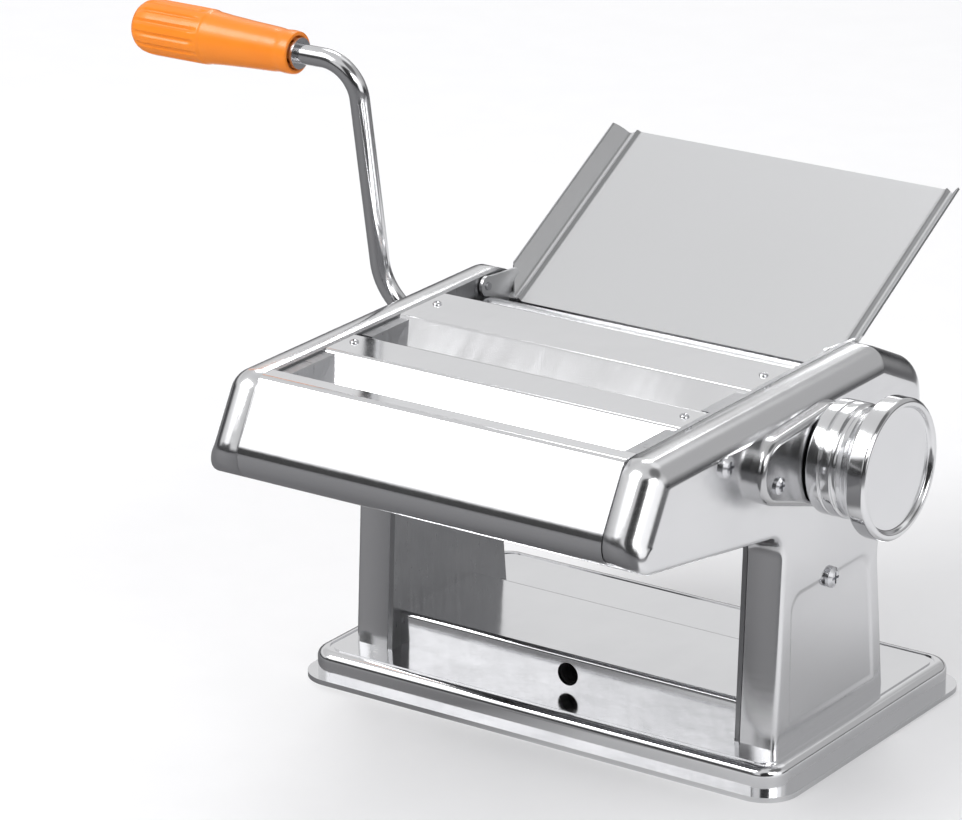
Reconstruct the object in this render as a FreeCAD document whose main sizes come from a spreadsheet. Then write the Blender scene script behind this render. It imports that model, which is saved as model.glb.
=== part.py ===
import FreeCAD, Part
import Sketcher
import math
import os

# Hand cranked pasta machine: pressed steel base, two legs with pressed cheeks, a head that holds
# one pair of smooth rollers and two pairs of cutting rollers, a thickness knob, a plug-in crank
# and a tilting feed tray. Millimetres and degrees. X runs across the machine towards the knob,
# -Y is the front, Z is up, and the origin is the middle of the base's underside.

SIZES = [
    # base
    ("base_length", 220.0), ("base_width", 140.0), ("base_height", 11.5), ("base_corner", 14.0),
    ("base_lip_width", 4.0), ("base_lip_thickness", 2.0), ("base_sheet", 1.5), ("base_shoulder", 3.5),
    ("bead_inset", 8.0), ("bead_width", 1.6), ("bead_depth", 0.5),
    ("rib_half_width", 15.0), ("rib_bend", 3.0), ("foot_screw_inset", 10.0),
    ("platform_front_y", -43.0), ("platform_rear_y", 8.0), ("platform_rise", 14.0),
    ("platform_bend", 2.0), ("socket_bore", 4.6), ("socket_wall", 1.0), ("socket_length", 23.0),
    # legs and head, seen from the side
    ("side_margin", 32.0), ("plate_thickness", 2.0), ("head_top", 146.0),
    ("front_top_y", -125.0), ("chin_y", -145.5), ("chin_z", 110.4),
    ("rear_top_y", 27.0), ("rear_upper_y", 58.0), ("rear_upper_z", 131.5),
    ("rear_lower_y", 61.0), ("rear_lower_z", 105.0),
    ("leg_rear_y", 23.0), ("leg_rear_z", 74.0), ("foot_rear_y", 30.0),
    ("arch_y", -43.5), ("arch_z", 94.3), ("foot_front_y", -49.5),
    ("front_corner", 10.0), ("cover_corner", 3.5), ("top_rear_corner", 12.0), ("rear_corner", 16.0),
    ("leg_corner", 20.0), ("arch_corner", 10.0),
    ("cheek_depth", 15.5), ("cheek_bevel_depth", 7.5), ("cheek_bevel_inset", 8.0),
    ("cheek_sheet", 1.2), ("cheek_soft_edge", 3.0),
    ("flange_width", 10.0), ("flange_front_y", -44.0), ("flange_rear_y", 24.0),
    # covers over the head
    ("cover_sheet", 1.0), ("hem", 8.0), ("chin_hem", 16.0), ("cover_end_gap", 0.3),
    ("ridge_front_y", -87.0), ("ridge_front_width", 20.0),
    ("ridge_rear_y", -40.0), ("ridge_rear_width", 31.0),
    ("front_slope_y", -12.5), ("front_slope_z", -12.4), ("rear_slope_y", -14.5), ("rear_slope_z", -12.6),
    ("ridge_lip", 6.0), ("guide_thickness", 5.0), ("guide_gap", 2.0), ("guide_toe", 4.5),
    ("rear_cover_end_y", 40.0),
    # smooth rollers
    ("roller_y", 11.6), ("roller_z", 122.0), ("roller_radius", 16.0), ("roller_gap", 0.3),
    ("roller_tilt", 3.5), ("roller_travel", 2.2), ("roller_end_gap", 3.0),
    ("drive_journal", 7.0), ("roller_journal", 5.0), ("cutter_journal", 4.0), ("running_gap", 0.05),
    ("drive_bore", 4.05), ("drive_bore_depth", 24.0), ("drive_proud", 1.0), ("drive_slot", 3.4),
    ("drive_slot_depth", 4.0), ("drive_hole_gap", 1.0), ("bush_wall", 2.0), ("bush_flange", 1.5),
    ("bush_flange_thickness", 1.2),
    # cutting rollers
    ("cutter_z", 121.0), ("fine_y", -97.5), ("wide_y", -51.5), ("cutter_spacing", 21.0),
    ("cutter_radius", 11.3), ("cutter_core", 9.0), ("fine_pitch", 4.0), ("wide_pitch", 13.0),
    ("ring_gap", 0.1), ("comb_gap", 0.4), ("comb_sheet", 1.2), ("comb_drop", 13.5), ("comb_bar", 2.5),
    # gears
    ("roller_teeth", 17.0), ("roller_gear_width", 5.5), ("roller_gear_gap", 5.0),
    ("cutter_teeth", 14.0), ("cutter_gear_width", 5.0), ("cutter_gear_gap", 1.8), ("tooth_slack", 0.5),
    # sliding bearings of the front smooth roller
    ("block_boss", 8.0), ("block_flange", 12.0), ("block_thickness", 4.0), ("arm_drop", 9.0), ("slide_gap", 0.1),
    ("bar_y", -9.3), ("bar_drop", 19.0), ("bar_radius", 3.0), ("bar_hub", 1.5), ("scraper_sheet", 1.0),
    ("scraper_gap", 0.3), ("slot_end_gap", 0.3),
    # rods, pillars and screws
    ("tie_radius", 4.0), ("tie_chin_radius", 3.0), ("tie_end", 2.2), ("tie_front_y", -133.5), ("tie_front_z", 117.0),
    ("tie_rear_y", 47.0), ("tie_rear_z", 112.0), ("tie_ridge_y", -84.0), ("tie_ridge_z", 134.0),
    ("pillar_low_y", -11.0), ("pillar_low_z", 68.0), ("pillar_radius", 3.0),
    ("screw_head", 4.0), ("screw_head_height", 2.2), ("screw_shank", 1.5), ("screw_length", 8.0),
    ("cross_width", 1.0), ("cross_length", 4.6), ("cross_depth", 1.2), ("nut_flats", 5.5),
    ("nut_height", 2.4), ("small_screw", 2.2), ("small_screw_height", 1.2), ("ridge_screw_inset", 5.0),
    # thickness knob
    ("seat_radius", 19.5), ("seat_thickness", 6.0), ("lobe_y", -55.5), ("lobe_z", 124.5),
    ("lobe_radius", 13.0), ("seat_soft_edge", 2.5), ("seat_spigot", 7.0), ("seat_spigot_length", 5.0),
    ("spindle_radius", 4.0), ("spindle_head", 7.0), ("spindle_head_thickness", 2.0),
    ("eccentric_radius", 1.3), ("eccentric_length", 2.2), ("eccentric_gap", 0.35),
    ("knob_gap", 0.6), ("knob_collar", 21.5), ("collar_length", 12.0), ("knob_flare", 25.0),
    ("flare_length", 9.5), ("knob_disc", 26.5), ("disc_length", 6.5), ("dish_rim", 3.0),
    ("dish_floor", 16.0), ("dish_depth", 2.5), ("knob_pull", 4.0), ("knob_web", 4.0),
    ("spring_length", 8.0), ("spring_wire", 1.0), ("spring_radius", 5.6), ("spring_gap", 0.15), ("spring_turns", 5.0),
    ("detent_orbit", 16.8), ("detent_pin", 1.4), ("detent_depth", 2.4), ("detent_gap", 0.3),
    # crank
    ("rod_radius", 3.9), ("crank_length", 108.3), ("crank_lean", 9.2), ("crank_offset", 27.0),
    ("crank_insert", 20.0), ("crank_foot_bend", 24.0), ("crank_bend", 15.0), ("cross_pin_radius", 1.5), ("cross_pin_length", 13.0),
    ("cross_pin_inset", 2.0), ("grip_start", 27.5), ("grip_length", 77.7), ("grip_radius", 11.0),
    ("grip_rim", 8.0), ("grip_waist", 8.8), ("grip_mouth", 6.4), ("grip_mouth_depth", 3.0),
    ("grip_end_wall", 4.0), ("grip_gap", 0.08), ("washer_radius", 6.2), ("washer_thickness", 1.2),
    ("grip_crown", 7.5), ("flute_radius", 1.6), ("flute_length", 22.0),
    # feed tray
    ("tray_hinge_y", 15.0), ("tray_hinge_z", 142.0), ("tray_low_y", 28.0), ("tray_low_z", 133.2),
    ("tray_tilt", 29.15), ("tray_length", 97.7), ("tray_half_width", 73.2), ("tray_sheet", 1.0),
    ("tray_flange", 9.0), ("tray_splay", 39.0), ("tray_flange_start", 12.5), ("tray_flange_end", 2.8),
    ("tray_flange_round", 2.5), ("tray_bead", 1.0), ("tray_rest_gap", 0.3),
    ("ear_thickness", 1.3), ("ear_foot", 1.2), ("ear_side_gap", 0.6), ("ear_ring", 4.0), ("ear_length", 26.0),
    ("stud_radius", 1.5), ("stud_gap", 0.1),
]

doc = FreeCAD.newDocument("pasta_machine")
sheet = doc.addObject("Spreadsheet::Sheet", "Sizes")


class Size:
    """A length or an angle: its value now, and the sheet expression that gives it."""

    def __init__(self, value, text=None):
        self.value = float(value)
        self.text = text or f"({float(value)!r})"

    def __add__(self, other):
        other = size(other)
        return Size(self.value + other.value, f"({self.text} + {other.text})")

    def __sub__(self, other):
        other = size(other)
        return Size(self.value - other.value, f"({self.text} - {other.text})")

    def __mul__(self, other):
        other = size(other)
        return Size(self.value * other.value, f"({self.text} * {other.text})")

    def __truediv__(self, other):
        other = size(other)
        return Size(self.value / other.value, f"({self.text} / {other.text})")

    def __radd__(self, other):
        return size(other) + self

    def __rsub__(self, other):
        return size(other) - self

    def __rmul__(self, other):
        return size(other) * self

    def __rtruediv__(self, other):
        return size(other) / self

    def __neg__(self):
        return Size(-self.value, f"(-{self.text})")


def size(value):
    return value if isinstance(value, Size) else Size(value)


def cosine(angle):
    angle = size(angle)
    return Size(math.cos(math.radians(angle.value)), f"cos({angle.text} * 1 deg)")


def sine(angle):
    angle = size(angle)
    return Size(math.sin(math.radians(angle.value)), f"sin({angle.text} * 1 deg)")


class Dimensions:
    """The driving dimensions as attributes, each tied to its cell."""


d = Dimensions()
for row, (alias, value) in enumerate(SIZES, start=1):
    sheet.set(f"A{row}", alias)
    sheet.set(f"B{row}", repr(value))
    sheet.setAlias(f"B{row}", alias)
    setattr(d, alias, Size(value, f"Sizes.{alias}"))
doc.recompute()

X_AXIS = FreeCAD.Vector(1, 0, 0)
NODES = []


def bind(item, name, value):
    """Tie one property, or one part of a placement, to the sheet."""
    value = size(value)
    if "." not in name:
        setattr(item, name, value.value)
    item.setExpression(name, value.text)


def place(item, x=0.0, y=0.0, z=0.0, turn_x=None):
    """Put an object at a point, turned about X by an angle."""
    if turn_x is not None:
        item.Placement = FreeCAD.Placement(FreeCAD.Vector(), FreeCAD.Rotation(X_AXIS, size(turn_x).value))
        bind(item, "Placement.Rotation.Angle", size(turn_x))
    for letter, value in (("x", x), ("y", y), ("z", z)):
        bind(item, f"Placement.Base.{letter}", value)
    return item


def node(item, label):
    """Name a finished sub-part, so that it gets a file of its own."""
    item.Label = label
    NODES.append(item)
    return item


def trace(sketch, points, bends=None, closed=True):
    """Draw a run of straight lines through points, with chosen corners rounded."""
    points = [(size(u), size(v)) for u, v in points]
    count = len(points)
    lines = count if closed else count - 1
    first = sketch.GeometryCount
    for index in range(lines):
        start = FreeCAD.Vector(points[index][0].value, points[index][1].value, 0)
        following = points[(index + 1) % count]
        sketch.addGeometry(Part.LineSegment(start, FreeCAD.Vector(following[0].value, following[1].value, 0)))
    for index in range(lines if closed else lines - 1):
        sketch.addConstraint(
            Sketcher.Constraint("Coincident", first + index, 2, first + (index + 1) % count, 1)
        )
    ends = [(first + index, 1) for index in range(lines)]
    if not closed:
        ends.append((first + lines - 1, 2))
    for (line, end), (u, v) in zip(ends, points):
        for kind, value in (("DistanceX", u), ("DistanceY", v)):
            number = sketch.addConstraint(Sketcher.Constraint(kind, -1, 1, line, end, value.value))
            sketch.setExpression(f"Constraints[{number}]", value.text)
    for corner, radius in (bends or {}).items():
        radius = size(radius)
        before = first + ((corner - 1) % count if closed else corner - 1)
        sketch.fillet(before, 2, radius.value, True, True)
        arc = sketch.GeometryCount - 2
        number = sketch.addConstraint(Sketcher.Constraint("Radius", arc, radius.value))
        sketch.setExpression(f"Constraints[{number}]", radius.text)


def ring(sketch, u, v, radius):
    """Draw one circle."""
    u, v, radius = size(u), size(v), size(radius)
    centre = FreeCAD.Vector(u.value, v.value, 0)
    circle = sketch.addGeometry(Part.Circle(centre, FreeCAD.Vector(0, 0, 1), radius.value))
    for kind, value in (("DistanceX", u), ("DistanceY", v)):
        number = sketch.addConstraint(Sketcher.Constraint(kind, -1, 1, circle, 3, value.value))
        sketch.setExpression(f"Constraints[{number}]", value.text)
    number = sketch.addConstraint(Sketcher.Constraint("Radius", circle, radius.value))
    sketch.setExpression(f"Constraints[{number}]", radius.text)


def body_sketch(body, name, role, offset=0.0):
    """A sketch on one of a body's own origin planes, set off along its normal."""
    sketch = body.newObject("Sketcher::SketchObject", name)
    plane = [feature for feature in body.Origin.OriginFeatures if feature.Role == role][0]
    sketch.AttachmentSupport = [(plane, "")]
    sketch.MapMode = "FlatFace"
    bind(sketch, "AttachmentOffset.Base.z", offset)
    return sketch


def side_sketch(name, x):
    """A free sketch in the plane at x, its u along Y and its v along Z."""
    sketch = doc.addObject("Sketcher::SketchObject", name)
    across = FreeCAD.Rotation(FreeCAD.Vector(0, 1, 0), FreeCAD.Vector(0, 0, 1), X_AXIS, "ZXY")
    sketch.Placement = FreeCAD.Placement(FreeCAD.Vector(), across)
    bind(sketch, "Placement.Base.x", x)
    return sketch


def side_prism(name, points, x0, x1, bends=None):
    """A solid with one outline seen from the side, from x0 to x1."""
    sketch = side_sketch(f"{name}_outline", x0)
    trace(sketch, points, bends)
    prism = doc.addObject("Part::Extrusion", name)
    prism.Base = sketch
    prism.DirMode = "Normal"
    prism.Solid = True
    bind(prism, "LengthFwd", size(x1) - size(x0))
    return prism


def folded(name, points, bends, thickness, x0, x1):
    """A folded sheet: an open line seen from the side, thickened to one side, from x0 to x1."""
    sketch = side_sketch(f"{name}_line", x0)
    trace(sketch, points, bends, closed=False)
    profile = doc.addObject("Part::Offset2D", f"{name}_profile")
    profile.Source = sketch
    profile.Mode = "Skin"
    profile.Join = "Intersection"
    profile.Fill = True
    bind(profile, "Value", thickness)
    prism = doc.addObject("Part::Extrusion", name)
    prism.Base = profile
    prism.DirMode = "Normal"
    prism.Solid = True
    bind(prism, "LengthFwd", size(x1) - size(x0))
    return prism


def bar(name, x0, x1, y, z, radius):
    """A round bar along X."""
    cylinder = doc.addObject("Part::Cylinder", name)
    upright = FreeCAD.Rotation(FreeCAD.Vector(0, 1, 0), 90)
    cylinder.Placement = FreeCAD.Placement(FreeCAD.Vector(), upright)
    bind(cylinder, "Radius", radius)
    bind(cylinder, "Height", size(x1) - size(x0))
    return place(cylinder, x0, y, z)


def block(name, x0, x1, y0, y1, z0, z1):
    """A square block between two corners."""
    box = doc.addObject("Part::Box", name)
    bind(box, "Length", size(x1) - size(x0))
    bind(box, "Width", size(y1) - size(y0))
    bind(box, "Height", size(z1) - size(z0))
    return place(box, x0, y0, z0)


def cut(name, base, tools):
    """One solid less others."""
    tool = tools[0]
    if len(tools) > 1:
        tool = fuse(f"{name}_tools", tools)
    result = doc.addObject("Part::Cut", name)
    result.Base = base
    result.Tool = tool
    return result


def fuse(name, pieces):
    result = doc.addObject("Part::MultiFuse", name)
    result.Shapes = pieces
    return result


def group(name, pieces):
    """Separate solids that share one node."""
    result = doc.addObject("Part::Compound", name)
    result.Links = pieces
    return result


def turned(name, profile, x=0.0, y=0.0, z=0.0, turn_x=None):
    """A round piece: points (x, radius) turned about the X axis, then put in its place."""
    body = doc.addObject("PartDesign::Body", name)
    sketch = body_sketch(body, f"{name}_profile", "XZ_Plane")
    trace(sketch, profile)
    revolution = body.newObject("PartDesign::Revolution", f"{name}_turned")
    revolution.Profile = sketch
    revolution.ReferenceAxis = (sketch, ["H_Axis"])
    revolution.Angle = 360
    return place(body, x, y, z, turn_x)


def mirrored(name, source):
    """The same piece on the other side of the machine."""
    result = doc.addObject("Part::Mirroring", name)
    result.Source = source
    result.Normal = X_AXIS
    return result


def along(start, end, y):
    """The height at y on the straight line between two points."""
    (y0, z0), (y1, z1) = start, end
    return z0 + (y - y0) * (z1 - z0) / (y1 - y0)


# Stations across the machine and shared places
plate_in = d.base_length / 2 - d.side_margin
plate_out = plate_in + d.plate_thickness
panel_x = plate_out + d.cheek_depth
roller_end = plate_in - d.roller_end_gap
roller_pitch = d.roller_radius * 2 + d.roller_gap
toward_y = cosine(d.roller_tilt)
toward_z = sine(d.roller_tilt)
moving_y = d.roller_y - roller_pitch * toward_y
moving_z = d.roller_z - roller_pitch * toward_z
mouth_x = panel_x + d.drive_proud
top_under = d.head_top - d.cover_sheet

front_top = (d.front_top_y, d.head_top)
rear_top = (d.rear_top_y, d.head_top)
rear_upper = (d.rear_upper_y, d.rear_upper_z)
rear_lower = (d.rear_lower_y, d.rear_lower_z)
leg_rear = (d.leg_rear_y, d.leg_rear_z)
foot_rear = (d.foot_rear_y, size(0))
foot_front = (d.foot_front_y, size(0))
arch = (d.arch_y, d.arch_z)
chin = (d.chin_y, d.chin_z)
OUTLINE = [front_top, rear_top, rear_upper, rear_lower, leg_rear, foot_rear, foot_front, arch, chin]
OUTLINE_BENDS = {
    0: d.front_corner, 1: d.top_rear_corner, 2: d.rear_corner, 3: d.rear_corner,
    4: d.leg_corner, 7: d.arch_corner, 8: d.front_corner,
}


def screw(name, x, y, z, head, head_height, shank, length):
    """A pan head screw with a cross recess, its head towards +X and seated at x."""
    profile = [(-length, 0), (-length, shank), (0, shank), (0, head),
               (head_height * 0.55, head), (head_height, head * 0.62), (head_height, 0)]
    blank = turned(f"{name}_blank", profile, x, y, z)
    half = d.cross_length * head / d.screw_head / 2
    thin = d.cross_width / 2
    floor = size(x) + head_height - d.cross_depth
    top = size(x) + head_height + 1
    arms = [
        block(f"{name}_slot_a", floor, top, size(y) - half, size(y) + half, size(z) - thin, size(z) + thin),
        block(f"{name}_slot_b", floor, top, size(y) - thin, size(y) + thin, size(z) - half, size(z) + half),
    ]
    return cut(name, blank, arms)


def both_sides(label, pieces):
    """Pieces on the right and the same on the left, as one node."""
    return node(group(label, pieces + [mirrored(f"{piece.Name}_left", piece) for piece in pieces]), label)


def upright(name, x, y, z0, z1, radius):
    """A round bar along Z."""
    cylinder = doc.addObject("Part::Cylinder", name)
    bind(cylinder, "Radius", radius)
    bind(cylinder, "Height", size(z1) - size(z0))
    return place(cylinder, x, y, z0)


def sledge(name, x0, x1, y, z, radius):
    """The straight slot that a round part sweeps as the front roller's bearings slide."""
    reach = d.roller_travel + d.slot_end_gap
    end_y = size(y) - reach * toward_y
    end_z = size(z) - reach * toward_z
    middle = doc.addObject("Part::Box", f"{name}_middle")
    middle.Placement = FreeCAD.Placement(FreeCAD.Vector(), FreeCAD.Rotation(X_AXIS, d.roller_tilt.value))
    bind(middle, "Placement.Rotation.Angle", d.roller_tilt)
    bind(middle, "Length", size(x1) - size(x0))
    bind(middle, "Width", reach)
    bind(middle, "Height", size(radius) * 2)
    place(middle, x0, end_y + size(radius) * toward_z, end_z - size(radius) * toward_y)
    return fuse(name, [bar(f"{name}_near", x0, x1, y, z, radius), middle,
                       bar(f"{name}_far", x0, x1, end_y, end_z, radius)])


# Base: a pan pressed from sheet, with a flat lip, a soft shoulder and a bead round its top
def make_base():
    half_x = d.base_length / 2
    half_y = d.base_width / 2
    body = doc.addObject("PartDesign::Body", "base_pan")
    layers = [
        ("lip", size(0), size(0), d.base_lip_thickness, d.base_corner),
        ("wall", d.base_lip_width, size(0), d.base_height, d.base_corner - d.base_lip_width),
    ]
    for name, inset, start, height, corner in layers:
        sketch = body_sketch(body, f"{name}_outline", "XY_Plane", start)
        x, y = half_x - inset, half_y - inset
        trace(sketch, [(-x, -y), (x, -y), (x, y), (-x, y)], {i: corner for i in range(4)})
        pad = body.newObject("PartDesign::Pad", f"{name}_pad")
        pad.Profile = sketch
        bind(pad, "Length", height)
    doc.recompute()
    top_edges = [
        f"Edge{number}" for number, edge in enumerate(pad.Shape.Edges, start=1)
        if min(vertex.Z for vertex in edge.Vertexes) > d.base_height.value - 0.001
    ]
    shoulder = body.newObject("PartDesign::Fillet", "shoulder")
    shoulder.Base = (pad, top_edges)
    bind(shoulder, "Radius", d.base_shoulder)
    hollow_sketch = body_sketch(body, "hollow_outline", "XY_Plane")
    inset = d.base_lip_width + d.base_sheet
    x, y = half_x - inset, half_y - inset
    corner = d.base_corner - inset
    trace(hollow_sketch, [(-x, -y), (x, -y), (x, y), (-x, y)], {i: corner for i in range(4)})
    hollow = body.newObject("PartDesign::Pocket", "hollow")
    hollow.Profile = hollow_sketch
    hollow.Reversed = True
    bind(hollow, "Length", d.base_height - d.base_sheet)
    bead_sketch = body_sketch(body, "bead_outline", "XY_Plane", d.base_height)
    for inset in (d.bead_inset, d.bead_inset + d.bead_width):
        x, y = half_x - inset, half_y - inset
        trace(bead_sketch, [(-x, -y), (x, -y), (x, y), (-x, y)],
              {i: d.base_corner - inset * 0.8 for i in range(4)})
    bead = body.newObject("PartDesign::Pocket", "bead")
    bead.Profile = bead_sketch
    bind(bead, "Length", d.bead_depth)
    return body


base_under = d.base_height - d.base_sheet
flange_x = plate_out + d.flange_width / 2
foot_places = [d.flange_front_y + d.foot_screw_inset, d.flange_rear_y - d.foot_screw_inset]


def make_foot_screw(name, x, y):
    """A screw up through the base into a leg's foot flange, with its head below the sheet."""
    shank = upright(f"{name}_shank", x, y, base_under, base_under + d.screw_length, d.screw_shank)
    head = upright(f"{name}_head", x, y, base_under - d.screw_head_height, base_under, d.screw_head)
    return fuse(name, [shank, head])


def make_foot_nut(name, x, y):
    nut = doc.addObject("Part::Prism", f"{name}_hexagon")
    nut.Polygon = 6
    bind(nut, "Circumradius", d.nut_flats / 1.7320508)
    bind(nut, "Height", d.nut_height)
    seat = d.base_height + d.plate_thickness
    place(nut, x, y, seat)
    hole = upright(f"{name}_hole", x, y, seat - 1, seat + d.nut_height + 1, d.screw_shank)
    return cut(name, nut, [hole])


foot_holes = []
for side in (-1, 1):
    for number, y in enumerate(foot_places):
        tag = f"{'left' if side < 0 else 'right'}_{number}"
        foot_holes.append(upright(f"foot_hole_{tag}", flange_x * side, y, 0, d.base_height + 1, d.screw_shank))
node(cut("base_with_holes", make_base(), foot_holes), "base_plate")
both_sides("foot_screws", [make_foot_screw(f"foot_screw_{i}", flange_x, y) for i, y in enumerate(foot_places)])
both_sides("foot_nuts", [make_foot_nut(f"foot_nut_{i}", flange_x, y) for i, y in enumerate(foot_places)])

# A channel welded under the base, level with its lip, stiffens it where the clamp pulls
rib_line = [(-d.rib_half_width, base_under), (-d.rib_half_width, 0), (d.rib_half_width, 0),
            (d.rib_half_width, base_under)]
node(folded("rib", rib_line, {1: d.rib_bend, 2: d.rib_bend}, -d.base_sheet, -plate_in, plate_in), "base_rib")

# A folded step between the legs, with the clamp's socket in its front wall
step_top = d.base_height + d.platform_rise
step_line = [(d.platform_front_y, d.base_height), (d.platform_front_y, step_top),
             (d.platform_rear_y, step_top), (d.platform_rear_y, d.base_height)]
step = folded("step", step_line, {1: d.platform_bend, 2: d.platform_bend}, d.base_sheet, -plate_in, plate_in)
socket_z = d.base_height + (d.platform_rise - d.base_sheet) / 2


def lengthwise(name, x, z, y0, y1, radius):
    """A round bar along Y."""
    cylinder = doc.addObject("Part::Cylinder", name)
    cylinder.Placement = FreeCAD.Placement(FreeCAD.Vector(), FreeCAD.Rotation(X_AXIS, -90))
    bind(cylinder, "Radius", radius)
    bind(cylinder, "Height", size(y1) - size(y0))
    return place(cylinder, x, y0, z)


socket_back = d.platform_front_y + d.socket_length
socket_hole = lengthwise("socket_hole", 0, socket_z, d.platform_front_y - 1, socket_back + 1, d.socket_bore)
node(cut("step_with_hole", step, [socket_hole]), "cross_platform")
socket_tube = lengthwise("socket_tube", 0, socket_z, d.platform_front_y + d.base_sheet, socket_back,
                         d.socket_bore + d.socket_wall)
socket_bore = lengthwise("socket_bore_cut", 0, socket_z, d.platform_front_y, socket_back + 1, d.socket_bore)
node(cut("socket", socket_tube, [socket_bore]), "clamp_socket")


# Covers: the outline's own line, folded from sheet, with a turned-in hem at each free edge
front_hem_y = d.front_top_y + d.hem


def front_cover(name, x0, x1):
    low_y = d.chin_y + d.chin_hem
    line = [(front_hem_y, d.head_top), front_top, chin, (low_y, along(chin, arch, low_y))]
    return folded(name, line, {1: d.cover_corner, 2: d.front_corner}, -d.cover_sheet, x0, x1)


tray_rise = sine(d.tray_tilt) / cosine(d.tray_tilt)
tray_under_z = d.tray_low_z - d.tray_sheet / cosine(d.tray_tilt)
rear_fall = (rear_top[1] - rear_upper[1]) / (rear_upper[0] - rear_top[0])
rear_lip_y = (rear_top[1] + rear_fall * rear_top[0] - tray_under_z + tray_rise * d.tray_low_y
              + d.tray_rest_gap) / (rear_fall + tray_rise)


def rear_cover(name, x0, x1):
    line = [(rear_lip_y, along(rear_top, rear_upper, rear_lip_y)), rear_upper, rear_lower,
            (d.rear_cover_end_y, along(rear_lower, leg_rear, d.rear_cover_end_y))]
    return folded(name, line, {1: d.rear_corner, 2: d.rear_corner}, d.cover_sheet, x0, x1)


cover_end = plate_out - d.cover_end_gap
node(front_cover("front_sheet", -cover_end, cover_end), "front_cover")
node(rear_cover("rear_sheet", -cover_end, cover_end), "rear_cover")

# Ridges between the openings: flat on top, a slope down to the cutters, a short lip behind
RIDGES = [
    ("front", d.ridge_front_y, d.ridge_front_width, d.front_slope_y, d.front_slope_z),
    ("rear", d.ridge_rear_y, d.ridge_rear_width, d.rear_slope_y, d.rear_slope_z),
]
ridge_screws = []
ridge_holes = {}
for which, y, width, slope_y, slope_z in RIDGES:
    line = [(y + slope_y, d.head_top + slope_z), (y, d.head_top), (y + width, d.head_top),
            (y + width, d.head_top - d.ridge_lip)]
    ridge = folded(f"ridge_{which}", line, {1: 2, 2: 2}, d.cover_sheet, -plate_in, plate_in)
    screw_x = plate_in - d.ridge_screw_inset
    screw_y = y + width * 0.55
    holes = [upright(f"ridge_hole_{which}_{side}", screw_x * side, screw_y, top_under - 1, d.head_top + 1,
                     d.screw_shank) for side in (-1, 1)]
    node(cut(f"ridge_{which}_with_holes", ridge, holes), f"ridge_plate_{which}")
    shank = upright(f"ridge_shank_{which}", screw_x, screw_y, top_under - 3, d.head_top, d.screw_shank)
    head = upright(f"ridge_head_{which}", screw_x, screw_y, d.head_top, d.head_top + d.small_screw_height,
                   d.small_screw)
    ridge_screws.append(fuse(f"ridge_screw_{which}", [shank, head]))
both_sides("ridge_screws", ridge_screws)

# Guides at the ends of the two cutter openings lead the sheet of dough onto the rollers
guides = []
front_edge = front_hem_y + d.guide_gap
for which, y, front, slope_y, slope_z in (
    ("front", d.ridge_front_y, front_edge, d.front_slope_y, d.front_slope_z),
    ("rear", d.ridge_rear_y, d.ridge_front_y + d.ridge_front_width + d.guide_gap, d.rear_slope_y,
     d.rear_slope_z),
):
    foot = d.head_top + slope_z
    points = [(front, top_under), (y - slope_y * d.cover_sheet / slope_z, top_under), (y + slope_y, foot),
              (y + slope_y - d.guide_toe, foot)]
    guides.append(side_prism(f"guide_{which}", points, plate_in - d.guide_thickness, plate_in))
both_sides("feed_guides", guides)

# The shafts that the side plates carry, with the bore of each one's bush on the left and right
bush_gap = d.running_gap
CUTTERS = [
    ("fine", "driven", d.fine_y, d.fine_pitch), ("fine", "mate", d.fine_y - d.cutter_spacing, d.fine_pitch),
    ("wide", "driven", d.wide_y, d.wide_pitch), ("wide", "mate", d.wide_y - d.cutter_spacing, d.wide_pitch),
]
SHAFTS = [("roller", d.roller_y, d.roller_z, d.drive_journal, d.roller_journal)]
for kind, role, y, pitch in CUTTERS:
    left = d.drive_journal if role == "driven" else d.cutter_journal
    SHAFTS.append((f"{kind}_{role}", y, d.cutter_z, left, d.cutter_journal))


def make_bush(name, y, z, journal, side):
    """A flanged bronze bush, pressed into a side plate with its flange outside."""
    bore = journal + bush_gap
    outer = bore + d.bush_wall
    flange = outer + d.bush_flange
    end = plate_out + d.bush_flange_thickness
    profile = [(plate_in, bore), (end, bore), (end, flange), (plate_out, flange), (plate_out, outer),
               (plate_in, outer)]
    if side < 0:
        profile = [(-x, radius) for x, radius in profile]
    return turned(name, profile, 0, y, z)


node(group("roller_bushes_pair", [
    make_bush("roller_bush_left", d.roller_y, d.roller_z, d.drive_journal, -1),
    make_bush("roller_bush_right", d.roller_y, d.roller_z, d.roller_journal, 1),
]), "roller_bushes")
cutter_bushes = []
for name, y, z, left, right in SHAFTS[1:]:
    cutter_bushes.append(make_bush(f"{name}_bush_left", y, z, left, -1))
    cutter_bushes.append(make_bush(f"{name}_bush_right", y, z, right, 1))
node(group("cutter_bushes_all", cutter_bushes), "cutter_bushes")

bar_y = moving_y + d.bar_y
bar_z = moving_z - d.bar_drop
rod_y = d.roller_y - d.bar_y
rod_z = d.roller_z - d.bar_drop
RODS = [
    ("chin", d.tie_front_y, d.tie_front_z, d.tie_chin_radius),
    ("ridge", d.tie_ridge_y, d.tie_ridge_z, d.tie_radius),
    ("tail", d.tie_rear_y, d.tie_rear_z, d.tie_radius),
]
PILLARS = [("ridge", d.tie_ridge_y, d.tie_ridge_z), ("leg", d.pillar_low_y, d.pillar_low_z)]


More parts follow.
